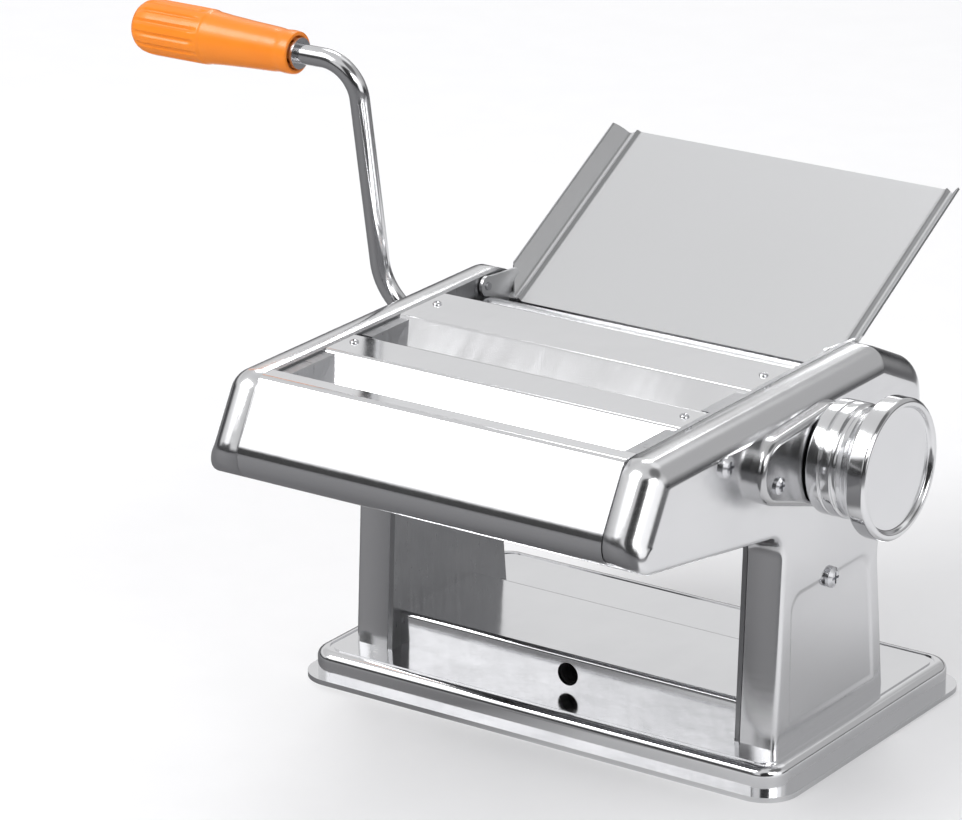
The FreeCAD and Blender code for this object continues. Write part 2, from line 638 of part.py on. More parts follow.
# Side plates: steel sheets of the head's outline that carry every shaft, with a foot turned out
def make_side_plate(label, side):
    near, far = (plate_in, plate_out) if side > 0 else (-plate_out, -plate_in)
    over, under = near - 1, far + 1
    plate = side_prism(f"{label}_blank", OUTLINE, near, far, OUTLINE_BENDS)
    tools = [
        block(f"{label}_below", over, under, -d.base_width, d.base_width, -d.base_height, d.base_height),
        front_cover(f"{label}_front_rebate", over, under),
        rear_cover(f"{label}_rear_rebate", over, under),
        sledge(f"{label}_slide", over, under, moving_y, moving_z, d.block_boss + d.slide_gap),
        sledge(f"{label}_bar_slot", over, under, bar_y, bar_z, d.bar_radius + d.slot_end_gap),
        bar(f"{label}_scraper_hole", over, under, rod_y, rod_z, d.bar_radius),
        bar(f"{label}_stud_hole", over, under, d.tray_hinge_y, d.tray_hinge_z, d.stud_radius),
    ]
    for name, y, z, left, right in SHAFTS:
        journal = right if side > 0 else left
        tools.append(bar(f"{label}_{name}_hole", over, under, y, z, journal + bush_gap + d.bush_wall))
    for name, y, z, radius in RODS:
        tools.append(bar(f"{label}_{name}_tie_hole", over, under, y, z, d.tie_end))
    trimmed = cut(f"{label}_trimmed", plate, tools)
    flange = block(f"{label}_flange", plate_out if side > 0 else -plate_out - d.flange_width,
                   plate_out + d.flange_width if side > 0 else -plate_out,
                   d.flange_front_y, d.flange_rear_y, d.base_height, d.base_height + d.plate_thickness)
    holes = [upright(f"{label}_flange_hole_{i}", flange_x * side, y, 0, d.base_height + 5, d.screw_shank)
             for i, y in enumerate(foot_places)]
    return node(fuse(f"{label}_folded", [trimmed, cut(f"{label}_foot", flange, holes)]), label)


# Cheeks: pans pressed from sheet over each side plate, with a wide soft bevel round the panel
def make_cheek(name):
    body = doc.addObject("PartDesign::Body", name)
    sketch = body_sketch(body, f"{name}_outline", "YZ_Plane", plate_out)
    trace(sketch, OUTLINE, OUTLINE_BENDS)
    pad = body.newObject("PartDesign::Pad", f"{name}_pad")
    pad.Profile = sketch
    bind(pad, "Length", d.cheek_depth)
    doc.recompute()
    face = [
        f"Edge{number}" for number, edge in enumerate(pad.Shape.Edges, start=1)
        if edge.BoundBox.XMin > panel_x.value - 0.001
    ]
    bevel = body.newObject("PartDesign::Chamfer", f"{name}_bevel")
    bevel.Base = (pad, face)
    bevel.ChamferType = "Two distances"
    bind(bevel, "Size", d.cheek_bevel_depth)
    bind(bevel, "Size2", d.cheek_bevel_inset)
    doc.recompute()
    soft_edges = [
        f"Edge{number}" for number, edge in enumerate(bevel.Shape.Edges, start=1)
        if edge.BoundBox.XLength < 0.000001 and edge.BoundBox.XMin > plate_out.value + 0.5
    ]
    soft = body.newObject("PartDesign::Fillet", f"{name}_soft")
    soft.Base = (bevel, soft_edges)
    bind(soft, "Radius", d.cheek_soft_edge)
    doc.recompute()
    inner = [
        f"Face{number}" for number, face in enumerate(soft.Shape.Faces, start=1)
        if face.BoundBox.XMax < plate_out.value + 0.001
    ]
    shell = body.newObject("PartDesign::Thickness", f"{name}_shell")
    shell.Base = (soft, inner)
    shell.Reversed = True
    bind(shell, "Value", d.cheek_sheet)
    return body


def finish_cheek(label, source, side, bores):
    x0, x1 = (plate_out, mouth_x) if side > 0 else (-mouth_x, -plate_out)
    tools = [block(f"{label}_below", x0 - 1, x1 + 1, -d.base_width, d.base_width, -d.base_height,
                   d.base_height)]
    for name, y, z in PILLARS:
        tools.append(bar(f"{label}_{name}_screw_hole", x0, x1, y, z, d.screw_shank))
    for name, y, z, radius in bores:
        tools.append(bar(f"{label}_{name}_hole", x0 if side > 0 else -mouth_x - 1,
                         x1 + 1 if side > 0 else -plate_out, y, z, radius))
    return node(cut(f"{label}_drilled", source, tools), label)


make_side_plate("side_plate_left", -1)
make_side_plate("side_plate_right", 1)
drive_hole = d.drive_journal + d.drive_hole_gap
finish_cheek("cheek_right", make_cheek("right_pan"), 1, [
    ("spindle", moving_y, moving_z, d.seat_spigot),
])
finish_cheek("cheek_left", mirrored("left_pan_mirror", make_cheek("left_pan")), -1, [
    ("drive", d.roller_y, d.roller_z, drive_hole), ("fine", d.fine_y, d.cutter_z, drive_hole),
    ("wide", d.wide_y, d.cutter_z, drive_hole),
])

# Pillars hold each cheek off its side plate, and a screw through the panel ends in each
pillars = []
cheek_screws = []
pillar_end = panel_x - d.cheek_sheet
for name, y, z in PILLARS:
    pillar = bar(f"pillar_{name}_blank", plate_out, pillar_end, y, z, d.pillar_radius)
    bore = bar(f"pillar_{name}_bore", plate_out - 1, pillar_end + 1, y, z, d.screw_shank)
    pillars.append(cut(f"pillar_{name}", pillar, [bore]))
    cheek_screws.append(screw(f"cheek_screw_{name}", panel_x, y, z, d.screw_head, d.screw_head_height,
                              d.screw_shank, d.screw_length))
both_sides("cheek_pillars", pillars)
both_sides("cheek_screws", cheek_screws)

# Tie rods hold the side plates apart: shouldered, with a thin end through each plate
rods = []
for name, y, z, radius in RODS:
    profile = [(-plate_out, 0), (-plate_out, d.tie_end), (-plate_in, d.tie_end), (-plate_in, radius),
               (plate_in, radius), (plate_in, d.tie_end), (plate_out, d.tie_end), (plate_out, 0)]
    rods.append(turned(f"tie_{name}", profile, 0, y, z))
node(group("tie_rods_all", rods), "tie_rods")


# Gears: a disc with straight-sided teeth set round it, and slack enough to run a little apart
def make_gear(label, teeth, pitch_radius, bore, y, z, x0, width, phase):
    module = pitch_radius * 2 / teeth
    root_radius = pitch_radius - module * 1.25
    tip_radius = pitch_radius + module * 0.9
    half = module * (math.pi / 4) - d.tooth_slack / 2
    body = doc.addObject("PartDesign::Body", f"{label}_body")
    disc = body_sketch(body, f"{label}_disc_outline", "YZ_Plane")
    ring(disc, 0, 0, root_radius)
    ring(disc, 0, 0, bore)
    base = body.newObject("PartDesign::Pad", f"{label}_disc")
    base.Profile = disc
    bind(base, "Length", width)
    tooth_sketch = body_sketch(body, f"{label}_tooth_outline", "YZ_Plane")
    inside = root_radius - module * 0.4
    flank = module * 0.45
    trace(tooth_sketch, [(inside, -half - flank), (tip_radius, -half + flank), (tip_radius, half - flank),
                         (inside, half + flank)])
    tooth = body.newObject("PartDesign::Pad", f"{label}_tooth")
    tooth.Profile = tooth_sketch
    bind(tooth, "Length", width)
    axis = [feature for feature in body.Origin.OriginFeatures if feature.Role == "X_Axis"][0]
    pattern = body.newObject("PartDesign::PolarPattern", f"{label}_teeth")
    pattern.Originals = [tooth]
    pattern.Axis = (axis, [""])
    pattern.Angle = 360
    pattern.Occurrences = int(teeth.value)
    pattern.setExpression("Occurrences", teeth.text)
    body.Tip = pattern
    place(body, x0, y, z, phase)
    return node(body, label)


# Rollers: a barrel with turned-down journals; a driven one has a wide left journal, bored and
# slotted, that shows in the cheek's hole and takes the crank
def roller_profile(barrel, left_x, left_radius, right_x, right_radius):
    return [(-left_x, 0), (-left_x, left_radius), (-roller_end, left_radius), (-roller_end, barrel),
            (roller_end, barrel), (roller_end, right_radius), (right_x, right_radius), (right_x, 0)]


def open_socket(label, blank, y, z):
    """Bore the left journal and slot its mouth for the crank's cross pin."""
    depth = mouth_x - d.drive_bore_depth
    bore = bar(f"{label}_socket", -mouth_x - 1, -depth, y, z, d.drive_bore)
    slot = doc.addObject("Part::Box", f"{label}_cross_slot")
    bind(slot, "Length", d.drive_slot_depth + 1)
    bind(slot, "Width", d.drive_slot)
    bind(slot, "Height", d.drive_journal * 2 + 2)
    reach = d.drive_journal + 1
    turn = d.crank_lean
    place(slot, -mouth_x - 1, size(y) - d.drive_slot / 2 * cosine(turn) + reach * sine(turn),
          size(z) - d.drive_slot / 2 * sine(turn) - reach * cosine(turn), turn)
    return cut(f"{label}_bored", blank, [bore, slot])


bush_end = plate_out + d.bush_flange_thickness
drive_blank = turned("drive_roller_blank", roller_profile(
    d.roller_radius, mouth_x, d.drive_journal, bush_end, d.roller_journal), 0, d.roller_y, d.roller_z)
node(open_socket("drive_roller", drive_blank, d.roller_y, d.roller_z), "drive_roller")
gear_x = plate_out + d.roller_gear_gap + d.roller_gear_width
gear_half_turn = 180 / d.roller_teeth
make_gear("drive_roller_gear", d.roller_teeth, roller_pitch / 2, d.drive_journal, d.roller_y, d.roller_z,
          -gear_x, d.roller_gear_width, d.roller_tilt + 180)
node(turned("moving_roller_body", roller_profile(
    d.roller_radius, gear_x, d.roller_journal, plate_out + 1, d.roller_journal), 0, moving_y, moving_z),
    "moving_roller")
make_gear("moving_roller_gear", d.roller_teeth, roller_pitch / 2, d.roller_journal, moving_y, moving_z,
          -gear_x, d.roller_gear_width, d.roller_tilt + gear_half_turn)


cutter_gear_x = plate_out + d.cutter_gear_gap


# Cutting rollers: rings with square grooves, each one's rings running in the other's grooves
def make_cutter(label, role, y, pitch):
    ring_width = pitch / 2 - d.ring_gap
    count = int(roller_end.value * 2 / pitch.value)
    left_x, left_radius = bush_end, d.cutter_journal
    if role == "driven":
        left_x, left_radius = mouth_x, d.drive_journal
    blank = turned(f"{label}_core", roller_profile(
        d.cutter_core, left_x, left_radius, cutter_gear_x + d.cutter_gear_width, d.cutter_journal),
        0, y, d.cutter_z)
    shift = size(0) if role == "driven" else pitch / 2
    start = -pitch * count / 2 + shift
    number = count if role == "driven" else count - 1
    rings = []
    for index in range(number):
        x = start + pitch * index
        rings.append(bar(f"{label}_ring_{index}", x, x + ring_width, y, d.cutter_z, d.cutter_radius))
    solid = fuse(f"{label}_fused", [blank] + rings)
    if role == "driven":
        solid = open_socket(label, solid, y, d.cutter_z)
    return node(solid, label)


for kind, role, y, pitch in CUTTERS:
    make_cutter(f"{kind}_cutter_{role}", role, y, pitch)
    phase = size(180) if role == "driven" else 180 / d.cutter_teeth
    make_gear(f"{kind}_gear_{role}", d.cutter_teeth, d.cutter_spacing / 2, d.cutter_journal, y, d.cutter_z,
              cutter_gear_x, d.cutter_gear_width, phase)


# Combs under the cutters: a bar from plate to plate with a tooth in each groove strips the strands
def make_comb(label, role, y, pitch):
    count = int(roller_end.value * 2 / pitch.value)
    away = -1 if role == "mate" else 1
    bar_centre = size(y) + away * d.cutter_radius * 0.5
    low = d.cutter_z - d.comb_drop
    spine = block(f"{label}_spine", -plate_in, plate_in, bar_centre - d.comb_bar / 2,
                  bar_centre + d.comb_bar / 2, low - d.comb_sheet, low)
    shift = size(0) if role == "driven" else pitch / 2
    first = -pitch * count / 2 + shift
    groove = pitch / 2 + d.ring_gap
    teeth = [spine]
    for index in range(count - 1):
        x = first + pitch * index + pitch / 2 - d.ring_gap + d.comb_gap
        teeth.append(block(f"{label}_tooth_{index}", x, x + groove - 2 * d.comb_gap,
                           bar_centre - d.comb_bar / 2, bar_centre + d.comb_bar / 2, low,
                           d.cutter_z - d.cutter_core - d.comb_gap))
    return node(fuse(f"{label}_fused", teeth), label)


for kind, role, y, pitch in CUTTERS:
    make_comb(f"{kind}_comb_{role}", role, y, pitch)


# Scrapers under the smooth rollers: a blade whose hub sits on a rod from side to side
def make_scraper(label, side, rod_at_y, rod_at_z, axis_y, axis_z):
    far = roller_end
    hub = bar(f"{label}_hub", -far, far, rod_at_y, rod_at_z, d.bar_radius + d.bar_hub)
    tip_reach = d.roller_radius + d.scraper_gap
    tip_y = axis_y - side * tip_reach * 0.5
    tip_z = axis_z - tip_reach * 0.866
    heel_y = rod_at_y + side * d.bar_radius * -0.85
    heel_z = rod_at_z - 1
    lean = d.scraper_sheet
    blade = side_prism(f"{label}_blade", [(tip_y, tip_z), (heel_y, heel_z), (heel_y, heel_z - lean),
                                          (tip_y - side * 0.3, tip_z - lean)], -far, far)
    hole = bar(f"{label}_hole", -far - 1, far + 1, rod_at_y, rod_at_z, d.bar_radius)
    return node(cut(f"{label}_clear", fuse(f"{label}_joined", [hub, blade]), [hole]), label)


make_scraper("rear_scraper", 1, rod_y, rod_z, size(d.roller_y), size(d.roller_z))
make_scraper("front_scraper", -1, bar_y, bar_z, moving_y, moving_z)
node(bar("scraper_rod_bar", -plate_out, plate_out, rod_y, rod_z, d.bar_radius), "scraper_rod")


# The front smooth roller's bearings slide in the plates and are tied together by a cross bar
def make_bearing(label, side):
    inner, outer = plate_in, plate_out + d.slide_gap
    end = outer + d.block_thickness
    spans = [(inner, end), (outer, end)]
    if side < 0:
        spans = [(-b, -a) for a, b in spans]
    (boss0, boss1), (flange0, flange1) = spans
    arm_half = d.bar_radius + 2
    pieces = [
        bar(f"{label}_boss", boss0, boss1, moving_y, moving_z, d.block_boss),
        bar(f"{label}_flange", flange0, flange1, moving_y, moving_z, d.block_flange),
        bar(f"{label}_arm_end", flange0, flange1, bar_y, bar_z, arm_half),
        side_prism(f"{label}_arm", [
            (moving_y - d.block_flange * 0.9, moving_z - 2), (moving_y + d.block_flange * 0.3, moving_z - d.arm_drop),
            (bar_y + arm_half * 0.8, bar_z - 3), (bar_y - arm_half * 0.95, bar_z - 1)], flange0, flange1),
    ]
    holes = [
        bar(f"{label}_bore", boss0 - 1, boss1 + 1, moving_y, moving_z, d.roller_journal + bush_gap)
        if side < 0 else
        bar(f"{label}_bore", boss0 - 1, plate_out + 1.5, moving_y, moving_z, d.roller_journal + bush_gap),
        bar(f"{label}_bar_hole", boss0 - 1, boss1 + 1, bar_y, bar_z, d.bar_radius),
    ]
    if side > 0:
        half = d.eccentric_radius + d.eccentric_gap
        throw = d.roller_travel / 2
        reach = throw + half + 1
        pin_y = moving_y + throw * toward_y
        pin_z = moving_z + throw * toward_z
        groove = doc.addObject("Part::Box", f"{label}_groove")
        bind(groove, "Length", d.block_thickness + 1)
        bind(groove, "Width", half * 2)
        bind(groove, "Height", reach * 2)
        place(groove, plate_out + 2, pin_y - half * toward_y + reach * toward_z,
              pin_z - half * toward_z - reach * toward_y, d.roller_tilt)
        holes.append(groove)
    return node(cut(f"{label}_bored", fuse(f"{label}_solid", pieces), holes), label)


make_bearing("bearing_left", -1)
make_bearing("bearing_right", 1)
bar_end = plate_out + d.slide_gap + d.block_thickness
node(bar("bearing_bar", -bar_end, bar_end, bar_y, bar_z, d.bar_radius), "cross_bar")


# Thickness knob: a pear-shaped seat on the right cheek, a spindle whose eccentric pin shifts the
# front roller's bearings, and a turned knob that slides on the spindle against a spring
def make_seat():
    body = doc.addObject("PartDesign::Body", "seat_body")
    sketch = body_sketch(body, "seat_outline", "YZ_Plane", panel_x)
    centres = [(moving_y, moving_z, d.seat_radius), (d.lobe_y, d.lobe_z, d.lobe_radius)]
    for (y, z, radius), (start, end) in zip(centres, ((-100, 85), (85, 260))):
        centre = FreeCAD.Vector(y.value, z.value, 0)
        circle = Part.Circle(centre, FreeCAD.Vector(0, 0, 1), radius.value)
        arc = sketch.addGeometry(Part.ArcOfCircle(circle, math.radians(start), math.radians(end)))
        for kind, value in (("DistanceX", y), ("DistanceY", z)):
            number = sketch.addConstraint(Sketcher.Constraint(kind, -1, 1, arc, 3, value.value))
            sketch.setExpression(f"Constraints[{number}]", value.text)
        number = sketch.addConstraint(Sketcher.Constraint("Radius", arc, radius.value))
        sketch.setExpression(f"Constraints[{number}]", radius.text)
    for first, first_end, second, second_end in ((0, 2, 1, 1), (1, 2, 0, 1)):
        ends = [sketch.getPoint(first, first_end), sketch.getPoint(second, second_end)]
        line = sketch.addGeometry(Part.LineSegment(*ends))
        sketch.addConstraint(Sketcher.Constraint("Tangent", first, first_end, line, 1))
        sketch.addConstraint(Sketcher.Constraint("Tangent", line, 2, second, second_end))
    pad = body.newObject("PartDesign::Pad", "seat_pad")
    pad.Profile = sketch
    bind(pad, "Length", d.seat_thickness)
    doc.recompute()
    rim = [
        f"Edge{number}" for number, edge in enumerate(pad.Shape.Edges, start=1)
        if edge.BoundBox.XMin > (panel_x + d.seat_thickness).value - 0.001
    ]
    soft = body.newObject("PartDesign::Fillet", "seat_soft")
    soft.Base = (pad, rim)
    bind(soft, "Radius", d.seat_soft_edge)
    return body


seat_face = panel_x + d.seat_thickness
knob_x = seat_face + d.knob_gap
spigot_x = panel_x - d.seat_spigot_length
orbit = turned("detent_groove", [
    (seat_face - d.detent_depth, d.detent_orbit - d.detent_pin - d.detent_gap),
    (seat_face + 1, d.detent_orbit - d.detent_pin - d.detent_gap),
    (seat_face + 1, d.detent_orbit + d.detent_pin + d.detent_gap),
    (seat_face - d.detent_depth, d.detent_orbit + d.detent_pin + d.detent_gap)], 0, moving_y, moving_z)
seat_solid = fuse("seat_solid", [make_seat(), bar("seat_spigot_bar", spigot_x, panel_x, moving_y, moving_z,
                                                  d.seat_spigot)])
seat_screw_y = d.lobe_y - d.lobe_radius * 0.2
seat_screw_z = d.lobe_z - d.lobe_radius * 0.35
node(cut("seat_bored", seat_solid, [
    bar("seat_bore", spigot_x - 1, seat_face + 1, moving_y, moving_z, d.spindle_radius + d.running_gap),
    orbit,
    bar("seat_screw_hole", panel_x - 1, seat_face + 1, seat_screw_y, seat_screw_z, d.screw_shank),
]), "knob_seat")
node(screw("seat_screw_solid", seat_face, seat_screw_y, seat_screw_z, d.screw_head * 0.8,
           d.screw_head_height * 0.7, d.screw_shank, d.seat_thickness), "seat_screw")

spindle_x = plate_out + d.slide_gap + d.block_thickness + 0.4
shoulder_x = knob_x + d.knob_web
head_x = shoulder_x + d.spring_length
spindle_profile = [
    (spindle_x, 0), (spindle_x, d.spindle_radius), (head_x, d.spindle_radius), (head_x, d.spindle_head),
    (head_x + d.spindle_head_thickness, d.spindle_head), (head_x + d.spindle_head_thickness, 0)]
throw = d.roller_travel / 2
eccentric = bar("eccentric", spindle_x - d.eccentric_length, spindle_x + 0.5, moving_y + throw * toward_y,
                moving_z + throw * toward_z, d.eccentric_radius)
node(fuse("spindle_solid", [turned("spindle_turned", spindle_profile, 0, moving_y, moving_z), eccentric]),
     "selector_spindle")

cavity = d.spindle_head + 0.4
collar_end = knob_x + d.collar_length
flare_end = collar_end + d.flare_length
disc_end = flare_end + d.disc_length
cavity_end = head_x + d.spindle_head_thickness + 0.6
knob_profile = [
    (knob_x, d.spindle_radius + d.running_gap), (knob_x, d.knob_collar - 0.8), (knob_x + 0.8, d.knob_collar),
    (knob_x + d.collar_length * 0.55, d.knob_collar), (knob_x + d.collar_length * 0.55, d.knob_collar - 1),
    (knob_x + d.collar_length * 0.7, d.knob_collar - 1), (knob_x + d.collar_length * 0.7, d.knob_collar),
    (collar_end, d.knob_collar), (flare_end, d.knob_flare), (flare_end, d.knob_disc - 0.5),
    (flare_end + 0.5, d.knob_disc), (disc_end - 1.2, d.knob_disc), (disc_end, d.knob_disc - 1.2),
    (disc_end, d.knob_disc - d.dish_rim), (disc_end - d.dish_depth, d.dish_floor),
    (disc_end - d.dish_depth, 0), (cavity_end, 0), (cavity_end, cavity), (shoulder_x, cavity),
    (shoulder_x, d.spindle_radius + d.running_gap)]
node(turned("knob_turned", knob_profile, 0, moving_y, moving_z), "selector_knob")
node(bar("detent", seat_face - d.detent_depth + d.detent_gap, knob_x, moving_y, moving_z + d.detent_orbit,
         d.detent_pin), "detent_pin")
spring_height = d.spring_length - d.spring_wire - d.spring_gap * 2
spring_line = doc.addObject("Part::Helix", "spring_line")
bind(spring_line, "Pitch", spring_height / d.spring_turns)
bind(spring_line, "Height", spring_height)
bind(spring_line, "Radius", d.spring_radius)
spring_line.Placement = FreeCAD.Placement(FreeCAD.Vector(), FreeCAD.Rotation(FreeCAD.Vector(0, 1, 0), 90))
place(spring_line, shoulder_x + d.spring_wire / 2 + d.spring_gap, moving_y, moving_z)
spring_wire = doc.addObject("Part::Circle", "spring_wire_round")
bind(spring_wire, "Radius", d.spring_wire / 2)
spring_wire.Placement = FreeCAD.Placement(FreeCAD.Vector(), FreeCAD.Rotation(X_AXIS, 90))
place(spring_wire, shoulder_x + d.spring_wire / 2 + d.spring_gap, moving_y, moving_z - d.spring_radius)
spring = doc.addObject("Part::Sweep", "spring_swept")
spring.Sections = [spring_wire]
spring.Spine = (spring_line, ["Edge1"])
spring.Solid = True
spring.Frenet = True
node(spring, "knob_spring")


# Crank: one bent rod, its foot held in the drive socket by a cross pin
def in_crank(item):
    """Put a piece drawn in the crank's own plane, with its lean, on the drive axis."""
    return place(item, 0, d.roller_y, d.roller_z, d.crank_lean)


rod_start = -(mouth_x - d.crank_insert)
arm_x = -(panel_x + d.crank_offset)
grip_x = arm_x - d.grip_start
grip_end = grip_x - d.grip_length
rod_stop = grip_end + d.grip_end_wall
crank = doc.addObject("PartDesign::Body", "crank_body")
path = body_sketch(crank, "crank_path", "XZ_Plane")
trace(path, [(rod_start, 0), (arm_x, 0), (arm_x, d.crank_length), (rod_stop, d.crank_length)],
      {1: d.crank_foot_bend, 2: d.crank_bend}, closed=False)
section = body_sketch(crank, "crank_section", "YZ_Plane", rod_start)
ring(section, 0, 0, d.rod_radius)
doc.recompute()
pipe = crank.newObject("PartDesign::AdditivePipe", "crank_pipe")
pipe.Profile = section
pipe.Spine = path
in_crank(crank)
pin_x = -(mouth_x - d.cross_pin_inset)


def cross_pin(name, length):
    cylinder = doc.addObject("Part::Cylinder", name)
    bind(cylinder, "Radius", d.cross_pin_radius)
    bind(cylinder, "Height", length)
    half = size(length) / 2
    return place(cylinder, pin_x, d.roller_y + half * sine(d.crank_lean),
                 d.roller_z - half * cosine(d.crank_lean), d.crank_lean)


node(cut("crank_drilled", crank, [cross_pin("crank_pin_hole", d.cross_pin_length)]), "crank_arm")
node(cross_pin("crank_pin_round", d.cross_pin_length), "crank_pin")
upper_y = d.roller_y - d.crank_length * sine(d.crank_lean)
upper_z = d.roller_z + d.crank_length * cosine(d.crank_lean)
washer_x = grip_x + 0.3
node(turned("washer_ring", [
    (washer_x, d.rod_radius), (washer_x + d.washer_thickness, d.rod_radius),
    (washer_x + d.washer_thickness, d.washer_radius), (washer_x, d.washer_radius)], 0, upper_y, upper_z),
    "grip_washer")

# Grip: a moulded handle that spins on the rod, open where the rod goes in and fluted at its end
bore = d.rod_radius + d.grip_gap
grip_profile = [
    (grip_x, d.grip_mouth), (grip_x, d.grip_rim), (grip_x - 4, d.grip_rim + 0.3), (grip_x - 7, d.grip_waist),
    (grip_x - d.grip_length * 0.42, d.grip_waist + 0.9), (grip_x - d.grip_length * 0.62, d.grip_radius),
    (grip_end + 7, d.grip_radius), (grip_end + 3, d.grip_radius - 1.5), (grip_end + 0.8, d.grip_radius - 4.5),
    (grip_end, d.grip_radius - d.grip_crown), (grip_end, 0), (rod_stop - 0.4, 0), (rod_stop - 0.4, bore),
    (grip_x - d.grip_mouth_depth, bore), (grip_x - d.grip_mouth_depth, d.grip_mouth)]
grip = turned("grip_turned", grip_profile, 0, upper_y, upper_z)
flutes = []
flute_count = 12
for index in range(flute_count):
    angle = index * 360 / flute_count
    orbit_radius = d.grip_radius + d.flute_radius * 0.45
    flutes.append(bar(f"flute_{index}", grip_end - 1, grip_end + d.flute_length,
                      upper_y + orbit_radius * cosine(angle), upper_z + orbit_radius * sine(angle),
                      d.flute_radius))
node(cut("grip_fluted", grip, flutes), "crank_grip")


# Feed tray, drawn flat from its low edge and then tilted: a sheet with two splayed side flanges
def on_tray(item, across, along_tray, above):
    """Put an object at a place on the tray's own slope."""
    rise, run = sine(d.tray_tilt), cosine(d.tray_tilt)
    item.Placement = FreeCAD.Placement(FreeCAD.Vector(), FreeCAD.Rotation(X_AXIS, d.tray_tilt.value))
    bind(item, "Placement.Rotation.Angle", d.tray_tilt)
    return place(item, across, d.tray_low_y + size(along_tray) * run - size(above) * rise,
                 d.tray_low_z + size(along_tray) * rise + size(above) * run)


def tray_block(name, x0, x1, along0, along1, thickness):
    box = doc.addObject("Part::Box", name)
    bind(box, "Length", size(x1) - size(x0))
    bind(box, "Width", size(along1) - size(along0))
    bind(box, "Height", thickness)
    return on_tray(box, x0, along0, -size(thickness))


flange_end = d.tray_length - d.tray_flange_end


def tray_flange(name):
    body = doc.addObject("PartDesign::Body", name)
    sketch = body_sketch(body, f"{name}_outline", "YZ_Plane")
    start, end = d.tray_flange_start, flange_end
    trace(sketch, [(start, 0), (end, 0), (end, d.tray_flange), (start, d.tray_flange)],
          {2: d.tray_flange_round, 3: d.tray_flange_round})
    pad = body.newObject("PartDesign::Pad", f"{name}_pad")
    pad.Profile = sketch
    bind(pad, "Length", d.tray_sheet)
    splayed = FreeCAD.Rotation(FreeCAD.Vector(0, 1, 0), d.tray_splay.value)
    body.Placement = FreeCAD.Placement(FreeCAD.Vector(), splayed)
    bind(body, "Placement.Rotation.Angle", d.tray_splay)
    bind(body, "Placement.Base.x", d.tray_half_width)
    return body


def tray_bead(name):
    bead = doc.addObject("Part::Cylinder", name)
    bead.Placement = FreeCAD.Placement(FreeCAD.Vector(), FreeCAD.Rotation(X_AXIS, -90))
    bind(bead, "Radius", d.tray_bead)
    bind(bead, "Height", flange_end - d.tray_flange_start)
    return place(bead, d.tray_half_width + 0.2, d.tray_flange_start, d.tray_bead - d.tray_sheet)


right_side = fuse("tray_side_flat", [tray_flange("tray_flange_flat"), tray_bead("tray_bead_flat")])
left_side = mirrored("tray_side_flat_left", right_side)
flat_tray = doc.addObject("Part::Box", "tray_sheet_flat")
bind(flat_tray, "Length", d.tray_half_width * 2)
bind(flat_tray, "Width", d.tray_length)
bind(flat_tray, "Height", d.tray_sheet)
place(flat_tray, -d.tray_half_width, 0, -d.tray_sheet)
tray = fuse("tray_solid", [flat_tray, right_side, left_side])
node(on_tray(tray, 0, 0, 0), "feed_tray")

# Ears beside the tray's low end reach forward to a stud in each side plate, where the tray tilts
ear_out = plate_in - d.ear_side_gap
ear_in = ear_out - d.ear_thickness
run, rise = cosine(d.tray_tilt), sine(d.tray_tilt)


def spot(along_tray, above):
    """A point on the tray's slope, seen from the side."""
    return (d.tray_low_y + along_tray * run - above * rise, d.tray_low_z + along_tray * rise + above * run)


ear_end = d.tray_flange_start - 1
ear_plate = side_prism("ear_plate", [
    (d.tray_hinge_y - 1, d.tray_hinge_z - d.ear_ring * 0.9), spot(size(0), -d.ear_foot),
    spot(ear_end, -d.ear_foot), spot(ear_end, size(6)),
    (d.tray_hinge_y + 1, d.tray_hinge_z + d.ear_ring * 0.9)], ear_in, ear_out)
ear_knuckle = bar("ear_knuckle", ear_in, ear_out, d.tray_hinge_y, d.tray_hinge_z, d.ear_ring)
ear_weld = tray_block("ear_weld", d.tray_half_width, ear_in + 0.5, 1, ear_end, d.tray_sheet)
ear_hole = bar("ear_hole", ear_in - 1, ear_out + 1, d.tray_hinge_y, d.tray_hinge_z, d.stud_radius + d.stud_gap)
ear = cut("ear_right", fuse("ear_blank", [ear_plate, ear_knuckle, ear_weld]), [ear_hole])
stud = bar("stud_right", ear_in - 0.8, plate_out, d.tray_hinge_y, d.tray_hinge_z, d.stud_radius)
both_sides("tray_ears", [ear])
both_sides("tray_studs", [stud])

doc.recompute()
failed = [item.Name for item in doc.Objects if "Invalid" in item.State or "Error" in item.State]
for item in NODES:
    shape = item.Shape
    if shape.isNull() or not shape.isValid():
        failed.append(item.Label)
if failed:
    raise SystemExit("These failed: " + ", ".join(failed))
os.makedirs("parts", exist_ok=True)
for item in NODES:
    item.Shape.exportStep(f"parts/{item.Label}.step")
    box = item.Shape.BoundBox
    print(f"{item.Label:22} solids {len(item.Shape.Solids):2} volume {item.Shape.Volume:10.1f}"
          f"  x {box.XMin:.1f} {box.XMax:.1f}  y {box.YMin:.1f} {box.YMax:.1f}  z {box.ZMin:.1f} {box.ZMax:.1f}")
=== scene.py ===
import bpy
import bmesh
import math
from mathutils import Matrix, Vector


